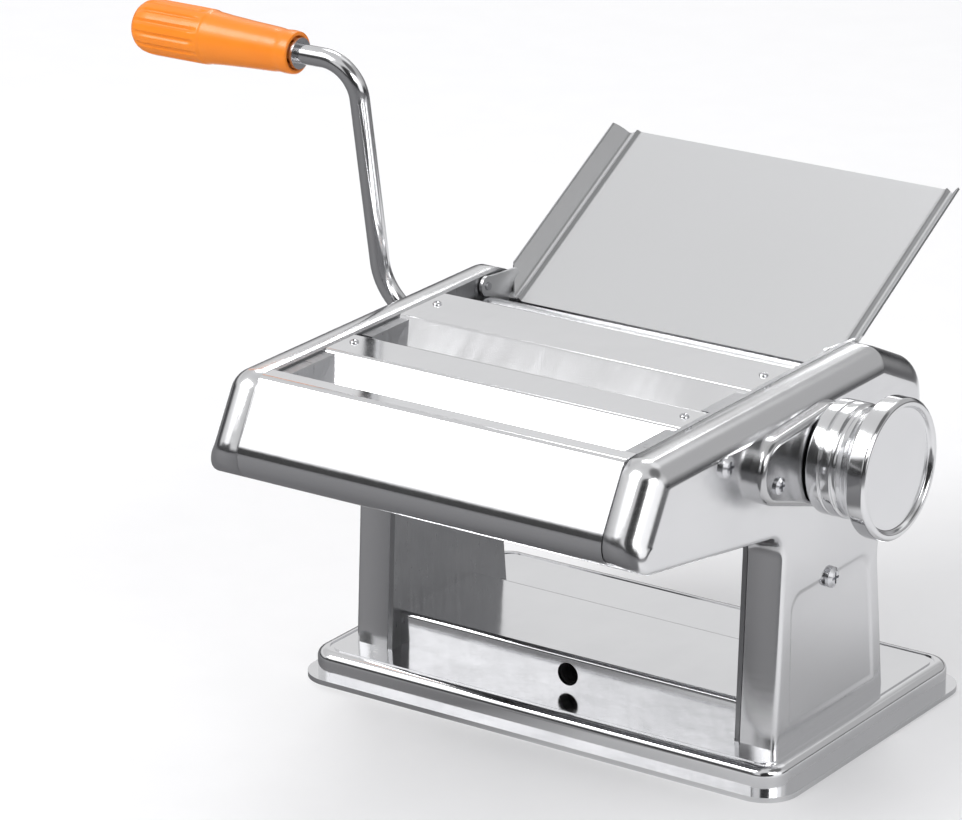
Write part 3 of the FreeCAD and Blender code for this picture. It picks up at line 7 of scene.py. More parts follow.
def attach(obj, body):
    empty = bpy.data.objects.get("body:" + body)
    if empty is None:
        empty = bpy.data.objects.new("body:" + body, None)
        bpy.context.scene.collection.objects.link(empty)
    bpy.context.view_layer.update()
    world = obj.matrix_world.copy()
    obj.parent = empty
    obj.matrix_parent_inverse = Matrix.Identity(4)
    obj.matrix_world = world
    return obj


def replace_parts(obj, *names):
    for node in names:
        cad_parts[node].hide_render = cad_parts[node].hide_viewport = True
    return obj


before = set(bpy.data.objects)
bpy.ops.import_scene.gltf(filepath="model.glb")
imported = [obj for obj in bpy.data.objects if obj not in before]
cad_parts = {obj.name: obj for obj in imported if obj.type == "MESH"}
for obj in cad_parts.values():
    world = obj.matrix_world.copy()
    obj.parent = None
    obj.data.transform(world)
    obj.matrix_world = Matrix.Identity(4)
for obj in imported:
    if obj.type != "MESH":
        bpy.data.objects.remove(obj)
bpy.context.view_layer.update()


# Camera
# The machine is seen from the front right and a little above, from about 1.9 m, with a long lens.
# Angles are in degrees, distances in metres, and the focal length in pixels of the photograph.
azimuth, elevation, roll = math.radians(35.25), math.radians(19.91), math.radians(-0.57)
focal_pixels, photo_width, sensor_width = 4927.93, 962, 36.0
distance, shift_right, shift_up = 1.90038, -0.05766, 0.10426
back = Vector((math.sin(azimuth) * math.cos(elevation), -math.cos(azimuth) * math.cos(elevation),
               math.sin(elevation)))
level_right = Vector((math.cos(azimuth), math.sin(azimuth), 0.0))
level_up = back.cross(level_right)
right = level_right * math.cos(roll) + level_up * math.sin(roll)
up = level_up * math.cos(roll) - level_right * math.sin(roll)
camera_data = bpy.data.cameras.new("view")
camera_data.sensor_width = sensor_width
camera_data.lens = focal_pixels / photo_width * sensor_width
camera_data.clip_end = 20.0
camera = bpy.data.objects.new("view", camera_data)
bpy.context.scene.collection.objects.link(camera)
camera_place = back * distance + right * shift_right + up * shift_up
turn = Matrix((right, up, back)).transposed().to_4x4()
camera.matrix_world = Matrix.Translation(camera_place) @ turn
bpy.context.scene.camera = camera
bpy.context.scene.view_settings.view_transform = "Standard"


# Room
# A pale seamless floor in a soft tent. Mirrors see what stands round the set: softboxes in front and
# overhead, a grey wall behind, a dark gap at the horizon and the dark shape of the camera itself.
class Wire:
    """One value or colour on its way through a material, with arithmetic that adds Math nodes."""

    def __init__(self, paint, socket):
        self.paint, self.socket = paint, socket

    def join(self, operation, first, second):
        return self.paint.node("ShaderNodeMath", {"operation": operation}, {0: first, 1: second})

    def __add__(self, other):
        return self.join("ADD", self, other)

    def __sub__(self, other):
        return self.join("SUBTRACT", self, other)

    def __mul__(self, other):
        return self.join("MULTIPLY", self, other)

    def __radd__(self, other):
        return self.join("ADD", other, self)

    def __rsub__(self, other):
        return self.join("SUBTRACT", other, self)

    def __rmul__(self, other):
        return self.join("MULTIPLY", other, self)


class Paint:
    """One material: its nodes, and a Principled surface fed at the end."""

    def __init__(self, name, tree=None):
        if tree is None:
            self.material = bpy.data.materials.new(name)
            self.material.use_nodes = True
            tree = self.material.node_tree
        self.tree = tree
        tree.nodes.clear()

    def node(self, kind, settings=None, inputs=None, output=0):
        made = self.tree.nodes.new(kind)
        for key, value in (settings or {}).items():
            if key == "stops":
                ramp = made.color_ramp
                while len(ramp.elements) < len(value):
                    ramp.elements.new(0.5)
                for element, (position, shade) in zip(ramp.elements, value):
                    element.position = position
                    element.color = shade if len(shade) == 4 else (*shade, 1.0)
            else:
                setattr(made, key, value)
        for key, value in (inputs or {}).items():
            socket = made.inputs[key]
            if isinstance(value, Wire):
                self.tree.links.new(value.socket, socket)
            else:
                socket.default_value = value
        return Wire(self, made.outputs[output])

    def place(self, scale=(1, 1, 1), turn=(0, 0, 0)):
        where = self.node("ShaderNodeTexCoord", output="Object")
        return self.node("ShaderNodeMapping", {}, {"Vector": where, "Scale": scale, "Rotation": turn})

    def noise(self, where, scale, detail=3.0, roughness=0.5):
        return self.node("ShaderNodeTexNoise", {}, {"Vector": where, "Scale": scale, "Detail": detail,
                                                    "Roughness": roughness})

    def ramp(self, value, stops):
        return self.node("ShaderNodeValToRGB", {"stops": stops}, {"Fac": value})

    def span(self, value, low, high, to_low, to_high):
        return self.node("ShaderNodeMapRange", {}, {"Value": value, "From Min": low, "From Max": high,
                                                    "To Min": to_low, "To Max": to_high})

    def mix(self, factor, first, second):
        return self.node("ShaderNodeMix", {"data_type": "RGBA"}, {"Factor": factor, 6: first, 7: second},
                         output=2)

    def bump(self, height, strength, distance, normal=None):
        inputs = {"Height": height, "Strength": strength, "Distance": distance}
        if normal is not None:
            inputs["Normal"] = normal
        return self.node("ShaderNodeBump", {}, inputs)

    def finish(self, **sockets):
        inputs = {name.replace("_", " "): value for name, value in sockets.items()}
        surface = self.node("ShaderNodeBsdfPrincipled", {}, inputs)
        out = self.tree.nodes.new("ShaderNodeOutputMaterial")
        self.tree.links.new(surface.socket, out.inputs["Surface"])
        return self.material


world = bpy.data.worlds.new("tent")
world.use_nodes = True
bpy.context.scene.world = world
sky = Paint("tent", world.node_tree)
direction = sky.node("ShaderNodeTexCoord", output="Generated")
height = sky.node("ShaderNodeSeparateXYZ", {}, {"Vector": direction}, output="Z")
drift = sky.noise(direction, 2.2, 2.0)
# grey by height over the horizon, from the floor's edge to overhead
tone = sky.ramp(height + drift * 0.12 - 0.06, [
    (0.0, (0.03, 0.03, 0.032)), (0.13, (0.07, 0.07, 0.075)), (0.20, (0.50, 0.50, 0.505)),
    (0.34, (0.81, 0.81, 0.815)), (0.46, (0.66, 0.66, 0.665)), (0.60, (0.62, 0.62, 0.625)),
    (0.80, (0.72, 0.72, 0.725)), (1.0, (0.66, 0.66, 0.665)),
])
# name, direction, cosine where it begins and where it is full, and its grey
SEEN_ROUND_THE_SET = [
    ("dark room in front", (-0.55, -0.80, 0.25), 0.94, 0.98, 0.06),
    ("front softbox", (-0.555, -0.62, 0.555), 0.960, 0.980, 1.35),
    ("side softbox", (0.96, -0.10, 0.22), 0.90, 0.94, 1.15),
    ("wall behind", (0.30, 0.80, 0.52), 0.78, 0.95, 0.48),
    ("strip over the wall", (0.10, 0.60, 0.79), 0.955, 0.975, 0.95),
    ("boom overhead", (0.56, 0.11, 0.82), 0.90, 0.96, 0.16),
    ("camera", (0.58, -0.74, 0.33), 0.865, 0.915, 0.03),
]
for name, towards, begins, full, shade in SEEN_ROUND_THE_SET:
    facing = sky.node("ShaderNodeVectorMath", {"operation": "DOT_PRODUCT"}, {0: direction, 1: towards},
                      output="Value")
    cover = sky.node("ShaderNodeMapRange", {"interpolation_type": "SMOOTHSTEP"},
                     {"Value": facing, "From Min": begins, "From Max": full})
    tone = sky.mix(cover, tone, (shade, shade, shade * 1.01, 1.0))
seen = sky.node("ShaderNodeLightPath", output="Is Camera Ray")
glossy = sky.node("ShaderNodeLightPath", output="Is Glossy Ray")
tent_light, paper_white = (0.62, 0.62, 0.63, 1.0), (1.0, 1.0, 1.0, 1.0)
soft = sky.mix(glossy, tent_light, tone)
shown = sky.mix(seen, soft, paper_white)
background = sky.node("ShaderNodeBackground", {}, {"Color": shown, "Strength": 1.0})
world_out = world.node_tree.nodes.new("ShaderNodeOutputWorld")
world.node_tree.links.new(background.socket, world_out.inputs["Surface"])

floor_radius = 8.0
floor_mesh = bpy.data.meshes.new("floor")
floor_form = bmesh.new()
bmesh.ops.create_circle(floor_form, cap_ends=True, segments=96, radius=floor_radius)
floor_form.to_mesh(floor_mesh)
floor_form.free()
floor = bpy.data.objects.new("floor", floor_mesh)
bpy.context.scene.collection.objects.link(floor)
floor_paint = Paint("floor_paper")
where = floor_paint.place()
grain = floor_paint.noise(where, 40.0)
paper = floor_paint.mix(grain, (0.93, 0.93, 0.935, 1.0), (0.90, 0.90, 0.905, 1.0))
reach = floor_paint.node("ShaderNodeVectorMath", {"operation": "LENGTH"}, {0: where}, output="Value")
patch = floor_paint.noise(where, 3.5, 2.0)
# painted reflection: seen only in mirrors, the floor is given a painted shade, grey near the machine for
# its shadow, pale round it and dark where the set ends
painted_mirror_tone = floor_paint.ramp(reach * 0.5 + patch * 0.10 - 0.05, [
    (0.0, (0.22, 0.22, 0.225)), (0.045, (0.50, 0.50, 0.505)), (0.09, (0.80, 0.80, 0.805)),
    (0.26, (0.78, 0.78, 0.785)), (0.33, (0.14, 0.14, 0.145)), (1.0, (0.05, 0.05, 0.055))])
# and a patch of painted shade lies just ahead of the base, seen only in mirrors
painted_shade_way, painted_shade_begins, painted_shade_full = (-0.57, -0.82, 0.0), 0.075, 0.105
painted_shade_grey = (0.13, 0.13, 0.135, 1.0)
ahead = floor_paint.node("ShaderNodeVectorMath", {"operation": "DOT_PRODUCT"},
                         {0: where, 1: painted_shade_way}, output="Value")
in_painted_shade = floor_paint.span(ahead + patch * 0.03, painted_shade_begins, painted_shade_full, 0.0, 1.0)
painted_mirror_tone = floor_paint.mix(in_painted_shade, painted_mirror_tone, painted_shade_grey)
by_mirror = floor_paint.node("ShaderNodeLightPath", output="Is Glossy Ray")
# the camera sees the plain paper, and mirrors see the painted shade
floor_tone = floor_paint.mix(by_mirror, paper, painted_mirror_tone)
floor_mesh.materials.append(floor_paint.finish(Base_Color=floor_tone, Roughness=0.6))

# name, place in metres, width in metres and power in watts
LAMPS = [
    ("key", (-1.1, -1.5, 2.0), 1.5, 34.0),
    ("fill", (1.9, -0.9, 1.3), 1.2, 13.0),
    ("rim", (-1.0, 1.7, 2.1), 1.0, 14.0),
]
middle_of_head = Vector((0.0, -0.03, 0.1))
for name, place, width, power in LAMPS:
    lamp = bpy.data.lights.new(name, "AREA")
    lamp.shape = "RECTANGLE"
    lamp.size, lamp.size_y = width, width * 0.7
    lamp.energy = power
    lamp_object = bpy.data.objects.new(name, lamp)
    bpy.context.scene.collection.objects.link(lamp_object)
    aim = middle_of_head - Vector(place)
    facing = aim.to_track_quat("-Z", "Y").to_matrix().to_4x4()
    lamp_object.matrix_world = Matrix.Translation(place) @ facing


# Base, step, covers and ridges
# Stainless sheet, pressed or folded to shape and buffed, then screwed or welded between the side plates.
# It mirrors the room through faint buffing marks and a slow waviness left by the press.
def polished_sheet(name, tone, gloss, marks):
    """Buffed metal: marks gives how fine the buffing lines are along each axis, per metre."""
    paint = Paint(name)
    where = paint.place()
    cloud = paint.noise(where, 28.0, 4.0)
    hair = paint.noise(paint.place(marks), 1.0, 2.0, 0.7)
    smear = paint.noise(where, 90.0, 3.0)
    clean = (tone, tone, tone * 1.01, 1.0)
    handled = (tone * 0.93, tone * 0.935, tone * 0.95, 1.0)
    colour = paint.mix(cloud, clean, handled)
    rough = paint.span(cloud * 0.6 + hair * 0.4, 0.3, 0.7, gloss * 0.7, gloss * 1.5)
    wavy = paint.bump(cloud, 0.10, 0.0012)
    scratched = paint.bump(hair * 0.7 + smear * 0.3, 0.035, 0.0002, wavy)
    return paint.finish(Base_Color=colour, Metallic=1.0, Roughness=rough, Normal=scratched)


def dress(node_name, material):
    """Put a finish on every slot of a piece that keeps its made shape."""
    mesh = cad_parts[node_name].data
    if not mesh.materials:
        mesh.materials.append(material)
    for index in range(len(mesh.materials)):
        mesh.materials[index] = material


bright_sheet = polished_sheet("bright_sheet", 0.86, 0.10, (260.0, 30.0, 30.0))
for name in ("base_plate", "cross_platform", "front_cover", "rear_cover", "ridge_plate_front",
             "ridge_plate_rear"):
    dress(name, bright_sheet)


# Knob seat
# A pear-shaped pad with a soft edge, polished and screwed to the right cheek. The selector's spindle
# comes out through it and the knob turns against it.
seat_sheet = polished_sheet("seat_sheet", 0.60, 0.16, (420.0, 40.0, 40.0))
dress("knob_seat", seat_sheet)


# Cheeks
# Deep pans of stainless sheet, pressed over each side plate and screwed to it. A broad soft shoulder
# runs round the head; under the arch and down the leg the edge is tight, and the leg's face is embossed.
MM = 0.001
CHEEK_OUTLINE = [
    # y and z in millimetres, radius of the corner, and how broad the shoulder is after it
    ((-48.77, 11.5), 0.0, 0.0), ((-43.5, 94.3), 10.0, 0.0), ((-145.5, 110.4), 10.0, 1.0),
    ((-125.0, 146.0), 10.0, 1.0), ((27.0, 146.0), 12.0, 1.0), ((58.0, 131.5), 16.0, 1.0),
    ((61.0, 105.0), 16.0, 0.0), ((23.0, 74.0), 20.0, 0.0), ((28.91, 11.5), 0.0, 0.0),
]
CORNER_STEPS = SHOULDER_STEPS = 12
cheek_face, cheek_wall = 95.5, 80.05
tight_edge, shoulder_inset, shoulder_drop = 2.4, 6.4, 5.4


def ease(share):
    return share * share * (3 - 2 * share)


def trace_outline():
    """The side outline as points with their inward normals and shoulder breadth, corners rounded."""
    points = []
    for index, (corner, radius, breadth) in enumerate(CHEEK_OUTLINE):
        corner = Vector(corner)
        if radius == 0.0:
            points.append((corner, breadth))
            continue
        before = (Vector(CHEEK_OUTLINE[index - 1][0]) - corner).normalized()
        after = (Vector(CHEEK_OUTLINE[index + 1][0]) - corner).normalized()
        half = before.angle(after) / 2
        reach = radius / math.tan(half)
        middle = corner + (before + after).normalized() * (radius / math.sin(half))
        start, end = corner + before * reach - middle, corner + after * reach - middle
        sweep = start.angle(end)
        broad_before = CHEEK_OUTLINE[index - 1][2]
        for step in range(CORNER_STEPS + 1):
            share = step / CORNER_STEPS
            first, last = math.sin((1 - share) * sweep), math.sin(share * sweep)
            arm = (start * first + end * last) / math.sin(sweep)
            points.append((middle + arm, broad_before + (breadth - broad_before) * ease(share)))
    traced = []
    for index, (point, breadth) in enumerate(points):
        ahead = points[min(index + 1, len(points) - 1)][0]
        behind = points[max(index - 1, 0)][0]
        along = (ahead - behind).normalized()
        inward = Vector((along.y, -along.x))
        if index in (0, len(points) - 1):
            inward = Vector((math.copysign(1.0, inward.x), 0.0))
        traced.append((point, inward, breadth))
    return traced


def pan_rings():
    """Rings from the rim inside the wall, over the bend, to the face, each of x, y, z points."""
    traced = trace_outline()

    def ring(inset, x):
        return [(x(broad), *(point + inward * inset(broad))) for point, inward, broad in traced]

    rings = [ring(lambda b: 1.2, lambda b: cheek_wall + 4), ring(lambda b: 1.2, lambda b: cheek_wall),
             ring(lambda b: 0.3, lambda b: cheek_wall), ring(lambda b: 0.0, lambda b: cheek_wall + 0.3)]
    for step in range(SHOULDER_STEPS + 1):
        t = step / SHOULDER_STEPS
        # a bend from the wall over to the face: nearly flat where it is broad, round where it is tight
        rings.append(ring(
            lambda b: (tight_edge + shoulder_inset * b) * (2 * t * (1 - t) * 0.20 * b + t * t),
            lambda b: cheek_face - (tight_edge + shoulder_drop * b)
            * ((1 - t) ** 2 + 2 * t * (1 - t) * 0.24 * b)))
    rings.append(ring(lambda b: 3.0 + shoulder_inset * b, lambda b: cheek_face))
    return rings


def leg_panel():
    """Loops of y and z with their depth: the leg's embossed panel, rounded at its top corners."""
    front, back, foot, top, corner = -39.5, 22.5, 15.5, 63.0, 7.0
    front_turn, back_turn = -32.2, 11.5
    quarter = [math.radians(9 * step) for step in range(11)]
    outline = [(front, foot)]
    outline += [(front_turn - corner * math.cos(a), top + corner * math.sin(a)) for a in quarter]
    outline += [(back_turn + corner * math.sin(a), top + corner * math.cos(a)) for a in quarter]
    outline += [(back, foot)]
    centre, full_inset_from = Vector((-8.0, 42.0)), 20
    for inset, depth in ((0.0, 0.0), (0.5, 0.06), (1.3, 0.36), (2.1, 0.64), (2.7, 0.7)):
        shrunk = []
        for y, z in outline:
            away = Vector((y, z)) - centre
            shrunk.append((y - math.copysign(inset, away.x) * min(1.0, abs(away.x) / full_inset_from),
                           z - math.copysign(inset, away.y) * min(1.0, abs(away.y) / full_inset_from)))
        yield shrunk, depth


def soft_piece(name, form, crease, material):
    """The finished form as an object at the origin, smooth but for creases over an angle."""
    bmesh.ops.recalc_face_normals(form, faces=form.faces)
    for face in form.faces:
        face.smooth = True
    mesh = bpy.data.meshes.new(name)
    form.to_mesh(mesh)
    form.free()
    mesh.set_sharp_from_angle(angle=math.radians(crease))
    mesh.materials.append(material)
    piece = bpy.data.objects.new(name, mesh)
    bpy.context.scene.collection.objects.link(piece)
    return piece


def make_cheek(name, side, holes):
    """A pan on one side, 1 for right and -1 for left; holes are y, z and radius in millimetres."""
    form = bmesh.new()

    def point(x, y, z):
        return form.verts.new((side * x * MM, y * MM, z * MM))

    def loop_of(corners, x):
        found = [point(x, y, z) for y, z in corners]
        return found, [form.edges.new((a, b)) for a, b in zip(found, found[1:] + found[:1])]

    def wall_between(lower, upper):
        for k in range(len(lower)):
            after = (k + 1) % len(lower)
            form.faces.new((lower[k], lower[after], upper[after], upper[k]))

    rows = [[point(*place) for place in ring] for ring in pan_rings()]
    for lower, upper in zip(rows, rows[1:]):
        for a, b, c, d in zip(lower, lower[1:], upper[1:], upper):
            form.faces.new((a, b, c, d))
    steps = [loop_of(corners, cheek_face - depth) for corners, depth in leg_panel()]
    for (lower, _), (upper, _) in zip(steps, steps[1:]):
        wall_between(lower, upper)
    bmesh.ops.triangle_fill(form, use_beauty=True, edges=steps[-1][1])
    rim = [form.edges.get((a, b)) for a, b in zip(rows[-1], rows[-1][1:])]
    rim.append(form.edges.new((rows[-1][-1], rows[-1][0])))
    hole_sides, hole_depth = 40, 1.2
    for y, z, radius in holes:
        turns = [math.tau * k / hole_sides for k in range(hole_sides)]
        ring = [(y + radius * math.cos(a), z + radius * math.sin(a)) for a in turns]
        edge, edge_lines = loop_of(ring, cheek_face)
        wall_between(edge, loop_of(ring, cheek_face - hole_depth)[0])
        rim += edge_lines
    bmesh.ops.triangle_fill(form, use_beauty=True, edges=rim + steps[0][1])
    pan = soft_piece(name, form, 50, cheek_sheet)
    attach(pan, "frame")
    return pan


DRIVE_HOLES = [(11.6, 122.0, 8.0), (-97.5, 121.0, 8.0), (-51.5, 121.0, 8.0)]
cheek_sheet = polished_sheet("cheek_sheet", 0.82, 0.16, (40.0, 40.0, 420.0))
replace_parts(make_cheek("cheek_pan_right", 1, []), "cheek_right")
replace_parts(make_cheek("cheek_pan_left", -1, DRIVE_HOLES), "cheek_left")


# Side plates and guides
# Plates of plain steel stand inside the cheeks and carry every shaft. Folded guides under the ridges
# lead down to the cutters. Both are cut, folded and left dull, and their grey is also a painted shade,
# darker than the other cut steel, for the shadowed inside of the head.
def plain_steel(name, tone, gloss, marks):
    """Steel left as it was cut: marks gives how fine the tool lines are along each axis, per metre."""
    paint = Paint(name)
    where = paint.place()
    cloud = paint.noise(where, 60.0, 4.0)
    lines = paint.noise(paint.place(marks), 1.0, 3.0, 0.8)
    clean = (tone, tone, tone * 1.02, 1.0)
    handled = (tone * 0.82, tone * 0.83, tone * 0.86, 1.0)
    colour = paint.mix(cloud, clean, handled)
    rough = paint.span(lines, 0.3, 0.7, gloss * 0.75, gloss * 1.35)
    relief = paint.bump(lines, 0.12, 0.0003)
    return paint.finish(Base_Color=colour, Metallic=1.0, Roughness=rough, Normal=relief)


# painted shade: a darker tone than the cut steel, standing in for the shade inside the head
plate_painted_shade = plain_steel("plate_painted_shade", 0.40, 0.34, (60.0, 700.0, 90.0))
for name in ("side_plate_left", "side_plate_right", "feed_guides"):
    dress(name, plate_painted_shade)


# Channel, clamp socket, nuts and studs
# A folded channel stiffens the base from below, and nuts hold the foot screws. The clamp's socket
# sits in the step's front wall, and the tray swings on two studs in the side plates.
cut_steel = plain_steel("cut_steel", 0.66, 0.30, (60.0, 900.0, 60.0))
for name in ("base_rib", "clamp_socket", "foot_nuts", "tray_studs"):
    dress(name, cut_steel)


# Combs, scrapers, bearings and gears
# Cut from plain steel plate. The combs keep the cutters' grooves clear and the scrapers the smooth
# rollers; the bearings slide in the side plates, and each gear is pressed on its roller.
for name in ("fine_comb_driven", "fine_comb_mate", "wide_comb_driven", "wide_comb_mate", "rear_scraper",
             "front_scraper", "bearing_left", "bearing_right", "drive_roller_gear", "moving_roller_gear",
             "fine_gear_driven", "fine_gear_mate", "wide_gear_driven", "wide_gear_mate"):
    dress(name, cut_steel)


# Rollers, cutters and rods
# Turned and ground round bar: the smooth rollers, the grooved cutters, the rods and pillars that hold
# the plates apart, and the spindle, pins, washer and spring of the crank and the selector.
ground_steel = plain_steel("ground_steel", 0.74, 0.22, (2400.0, 40.0, 40.0))
for name in ("drive_roller", "moving_roller", "fine_cutter_driven", "fine_cutter_mate",
             "wide_cutter_driven", "wide_cutter_mate", "tie_rods", "scraper_rod", "cross_bar",
             "cheek_pillars", "selector_spindle", "detent_pin", "knob_spring", "crank_pin",
             "grip_washer"):
    dress(name, ground_steel)


# Screws
# Nickel plated, with a cross recess. Pan heads hold the base, the cheeks and the knob's seat, and four
# small domed screws hold the ridges. These are made by a geometry tree where the frame has them.
plated = plain_steel("nickel_plate", 0.80, 0.18, (500.0, 500.0, 500.0))
for name in ("foot_screws", "cheek_screws", "seat_screw"):
    dress(name, plated)


def size_tree(name, sizes):
    """A geometry tree with one named size for each entry, and a function that adds its nodes."""
    tree = bpy.data.node_groups.new(name, "GeometryNodeTree")
    tree.interface.new_socket("Geometry", in_out="INPUT", socket_type="NodeSocketGeometry")
    tree.interface.new_socket("Geometry", in_out="OUTPUT", socket_type="NodeSocketGeometry")
    for label in sizes:
        tree.interface.new_socket(label, in_out="INPUT", socket_type="NodeSocketFloat")
    given = tree.nodes.new("NodeGroupInput")

    def add(kind, settings=None, **inputs):
        made = tree.nodes.new(kind)
        for key, value in (settings or {}).items():
            setattr(made, key, value)
        for key, value in inputs.items():
            socket = made.inputs[key.replace("_", " ")]
            if isinstance(value, list):
                for one in value:
                    tree.links.new(one, socket)
            elif isinstance(value, bpy.types.NodeSocket):
                tree.links.new(value, socket)
            else:
                socket.default_value = value
        return made.outputs[0]

    return tree, given.outputs, add


def close_tree(tree, add, shape, material):
    """Smooth, realized and with its material: the end of every tree."""
    shape = add("GeometryNodeSetShadeSmooth", Geometry=shape)
    shape = add("GeometryNodeRealizeInstances", Geometry=shape)
    shape = add("GeometryNodeSetMaterial", Geometry=shape, Material=material)
    out = tree.nodes.new("NodeGroupOutput")
    tree.links.new(shape, out.inputs[0])


def make_by_tree(name, points, tree, sizes, material):
    """Run the tree on loose points and keep the result as a plain mesh."""
    seed_mesh = bpy.data.meshes.new(name + "_places")
    seed_mesh.from_pydata(points, [], [])
    piece = bpy.data.objects.new(name, seed_mesh)
    bpy.context.scene.collection.objects.link(piece)
    modifier = piece.modifiers.new("shape", "NODES")
    modifier.node_group = tree
    for item in tree.interface.items_tree:
        if item.in_out == "INPUT" and item.name in sizes:
            modifier[item.identifier] = sizes[item.name]
    graph = bpy.context.evaluated_depsgraph_get()
    made = bpy.data.meshes.new_from_object(piece.evaluated_get(graph), depsgraph=graph)
    piece.modifiers.remove(modifier)
    piece.data = made
    made.name = name
    made.materials.clear()
    made.materials.append(material)
    made.set_sharp_from_angle(angle=math.radians(35))
    return piece


# one place for each ridge screw, under its head: left or right, and front or rear
corners = [vertex.co.copy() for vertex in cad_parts["ridge_screws"].data.vertices]
middle_y = sum(corner.y for corner in corners) / len(corners)
quarters = {}
for corner in corners:
    quarters.setdefault((corner.x > 0, corner.y > middle_y), []).append(corner)
made_head_height = 0.0012
screw_places = []
for group in quarters.values():
    low = Vector([min(corner[axis] for corner in group) for axis in range(3)])
    high = Vector([max(corner[axis] for corner in group) for axis in range(3)])
    screw_places.append(((low.x + high.x) / 2, (low.y + high.y) / 2, high.z - made_head_height))

SCREW_SIZES = {"Head radius": 0.0018, "Head height": 0.00115,
               "Shank radius": 0.0011, "Shank length": 0.003}
recess_size, recess_height, recess_turn = (0.0021, 0.00042, 0.0009), 0.00125, 0.4
shank_middle = -0.0016
tree, given, add = size_tree("small_screws", SCREW_SIZES)
flatness = add("ShaderNodeMath", {"operation": "DIVIDE"})
for socket, label in zip(flatness.node.inputs, ("Head height", "Head radius")):
    tree.links.new(given[label], socket)
squeeze = add("ShaderNodeCombineXYZ", X=1.0, Y=1.0, Z=flatness)
ball = add("GeometryNodeMeshUVSphere", Segments=28, Rings=14, Radius=given["Head radius"])
dome = add("GeometryNodeTransform", Geometry=ball, Scale=squeeze)
bars = []
for turn in (recess_turn, recess_turn + math.pi / 2):
    bar = add("GeometryNodeMeshCube", Size=recess_size)
    bars.append(add("GeometryNodeTransform", Geometry=bar, Translation=(0.0, 0.0, recess_height),
                    Rotation=(0.0, 0.0, turn)))
head = add("GeometryNodeMeshBoolean", {"operation": "DIFFERENCE"}, Mesh_1=dome, Mesh_2=bars)
shank = add("GeometryNodeMeshCylinder", Vertices=20, Radius=given["Shank radius"],
            Depth=given["Shank length"])
shank = add("GeometryNodeTransform", Geometry=shank, Translation=(0.0, 0.0, shank_middle))
screw = add("GeometryNodeJoinGeometry", Geometry=[head, shank])
spread = add("GeometryNodeInstanceOnPoints", Points=given["Geometry"], Instance=screw)
close_tree(tree, add, spread, plated)
screw_piece = make_by_tree("ridge_screw_heads", screw_places, tree, SCREW_SIZES, plated)
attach(screw_piece, "frame")
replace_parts(screw_piece, "ridge_screws")


# Bushes
# Sintered bronze, dull and slightly mottled, pressed into the side plates for the rollers and the
# cutters to turn in.
bronze = Paint("bronze")
speck = bronze.noise(bronze.place(), 900.0, 2.0)
bronze_tone = bronze.mix(speck, (0.62, 0.43, 0.22, 1.0), (0.45, 0.29, 0.15, 1.0))
bronze_finish = bronze.finish(Base_Color=bronze_tone, Metallic=1.0, Roughness=0.45,
                              Normal=bronze.bump(speck, 0.2, 0.0002))
for name in ("roller_bushes", "cutter_bushes"):
    dress(name, bronze_finish)


# Crank
# A bright plated steel rod, bent twice. Its end plugs into the drive socket of the rear roller and is
# pulled out again for storage.
crank_finish = polished_sheet("crank_plate", 0.84, 0.12, (120.0, 120.0, 120.0))
dress("crank_arm", crank_finish)


# Grip
# Injection moulded in orange plastic: soft sheen, faint sink marks and a fine moulded grain. It swells
# from a thin waist to a fluted outer half with a rounded end; its mouth is a dark recess round the rod.
def lathe(name, profile, centre, segments, material, ripple=None):
    """A piece turned about a line along X, from a profile of x and radius in millimetres."""
    y, z = centre
    form = bmesh.new()
    rows = []
    for x, radius in profile:
        row = []
        for step in range(segments):
            angle = math.tau * step / segments
            reach = radius if ripple is None else radius + ripple(x, angle)
            row.append(form.verts.new((x * MM, (y + reach * math.cos(angle)) * MM,
                                       (z + reach * math.sin(angle)) * MM)))
        rows.append(row)
    for inner, outer in zip(rows, rows[1:]):
        for step in range(segments):
            following = (step + 1) % segments
            form.faces.new((inner[step], inner[following], outer[following], outer[step]))
    for row in (rows[0], rows[-1]):
        form.faces.new(row)
    return soft_piece(name, form, 32, material)


def rounded(profile, radius):
    """The same profile with its corners eased."""
    steps, most = 5, 0.45
    eased = [profile[0]]
    for before, corner, after in zip(profile, profile[1:], profile[2:]):
        before, corner, after = Vector(before), Vector(corner), Vector(after)
        reach = min(radius, (before - corner).length * most, (after - corner).length * most)
        start = corner + (before - corner).normalized() * reach
        end = corner + (after - corner).normalized() * reach
        for step in range(steps + 1):
            t = step / steps
            eased.append(tuple(start * (1 - t) ** 2 + corner * 2 * t * (1 - t) + end * t * t))
    eased.append(profile[-1])
    return eased


orange = Paint("orange_plastic")
where = orange.place()
sink = orange.noise(where, 45.0, 2.0)
grain = orange.noise(where, 1400.0, 2.0)
orange_tone = orange.mix(sink, (0.93, 0.27, 0.012, 1.0), (0.88, 0.22, 0.008, 1.0))
orange_rough = orange.span(grain, 0.3, 0.7, 0.28, 0.40)
orange_finish = orange.finish(Base_Color=orange_tone, Roughness=orange_rough, Coat_Weight=0.15,
                              Normal=orange.bump(sink * 0.7 + grain * 0.3, 0.12, 0.0006))
# x and radius, from inside the mouth to the outer end
grip_centre = -5.715, 228.908
grip_line = rounded([
    (-156.0, 4.15), (-153.2, 4.15), (-153.0, 6.3), (-150.6, 6.5), (-150.0, 7.2), (-150.1, 8.3),
    (-153.6, 8.6), (-156.4, 8.25), (-160.0, 8.7), (-172.0, 9.2), (-184.0, 9.9), (-191.0, 10.5),
    (-191.9, 10.9), (-200.0, 11.0), (-219.0, 11.0), (-223.5, 10.2), (-226.2, 8.0), (-227.5, 4.6),
    (-227.7, 1.0)], 1.6)
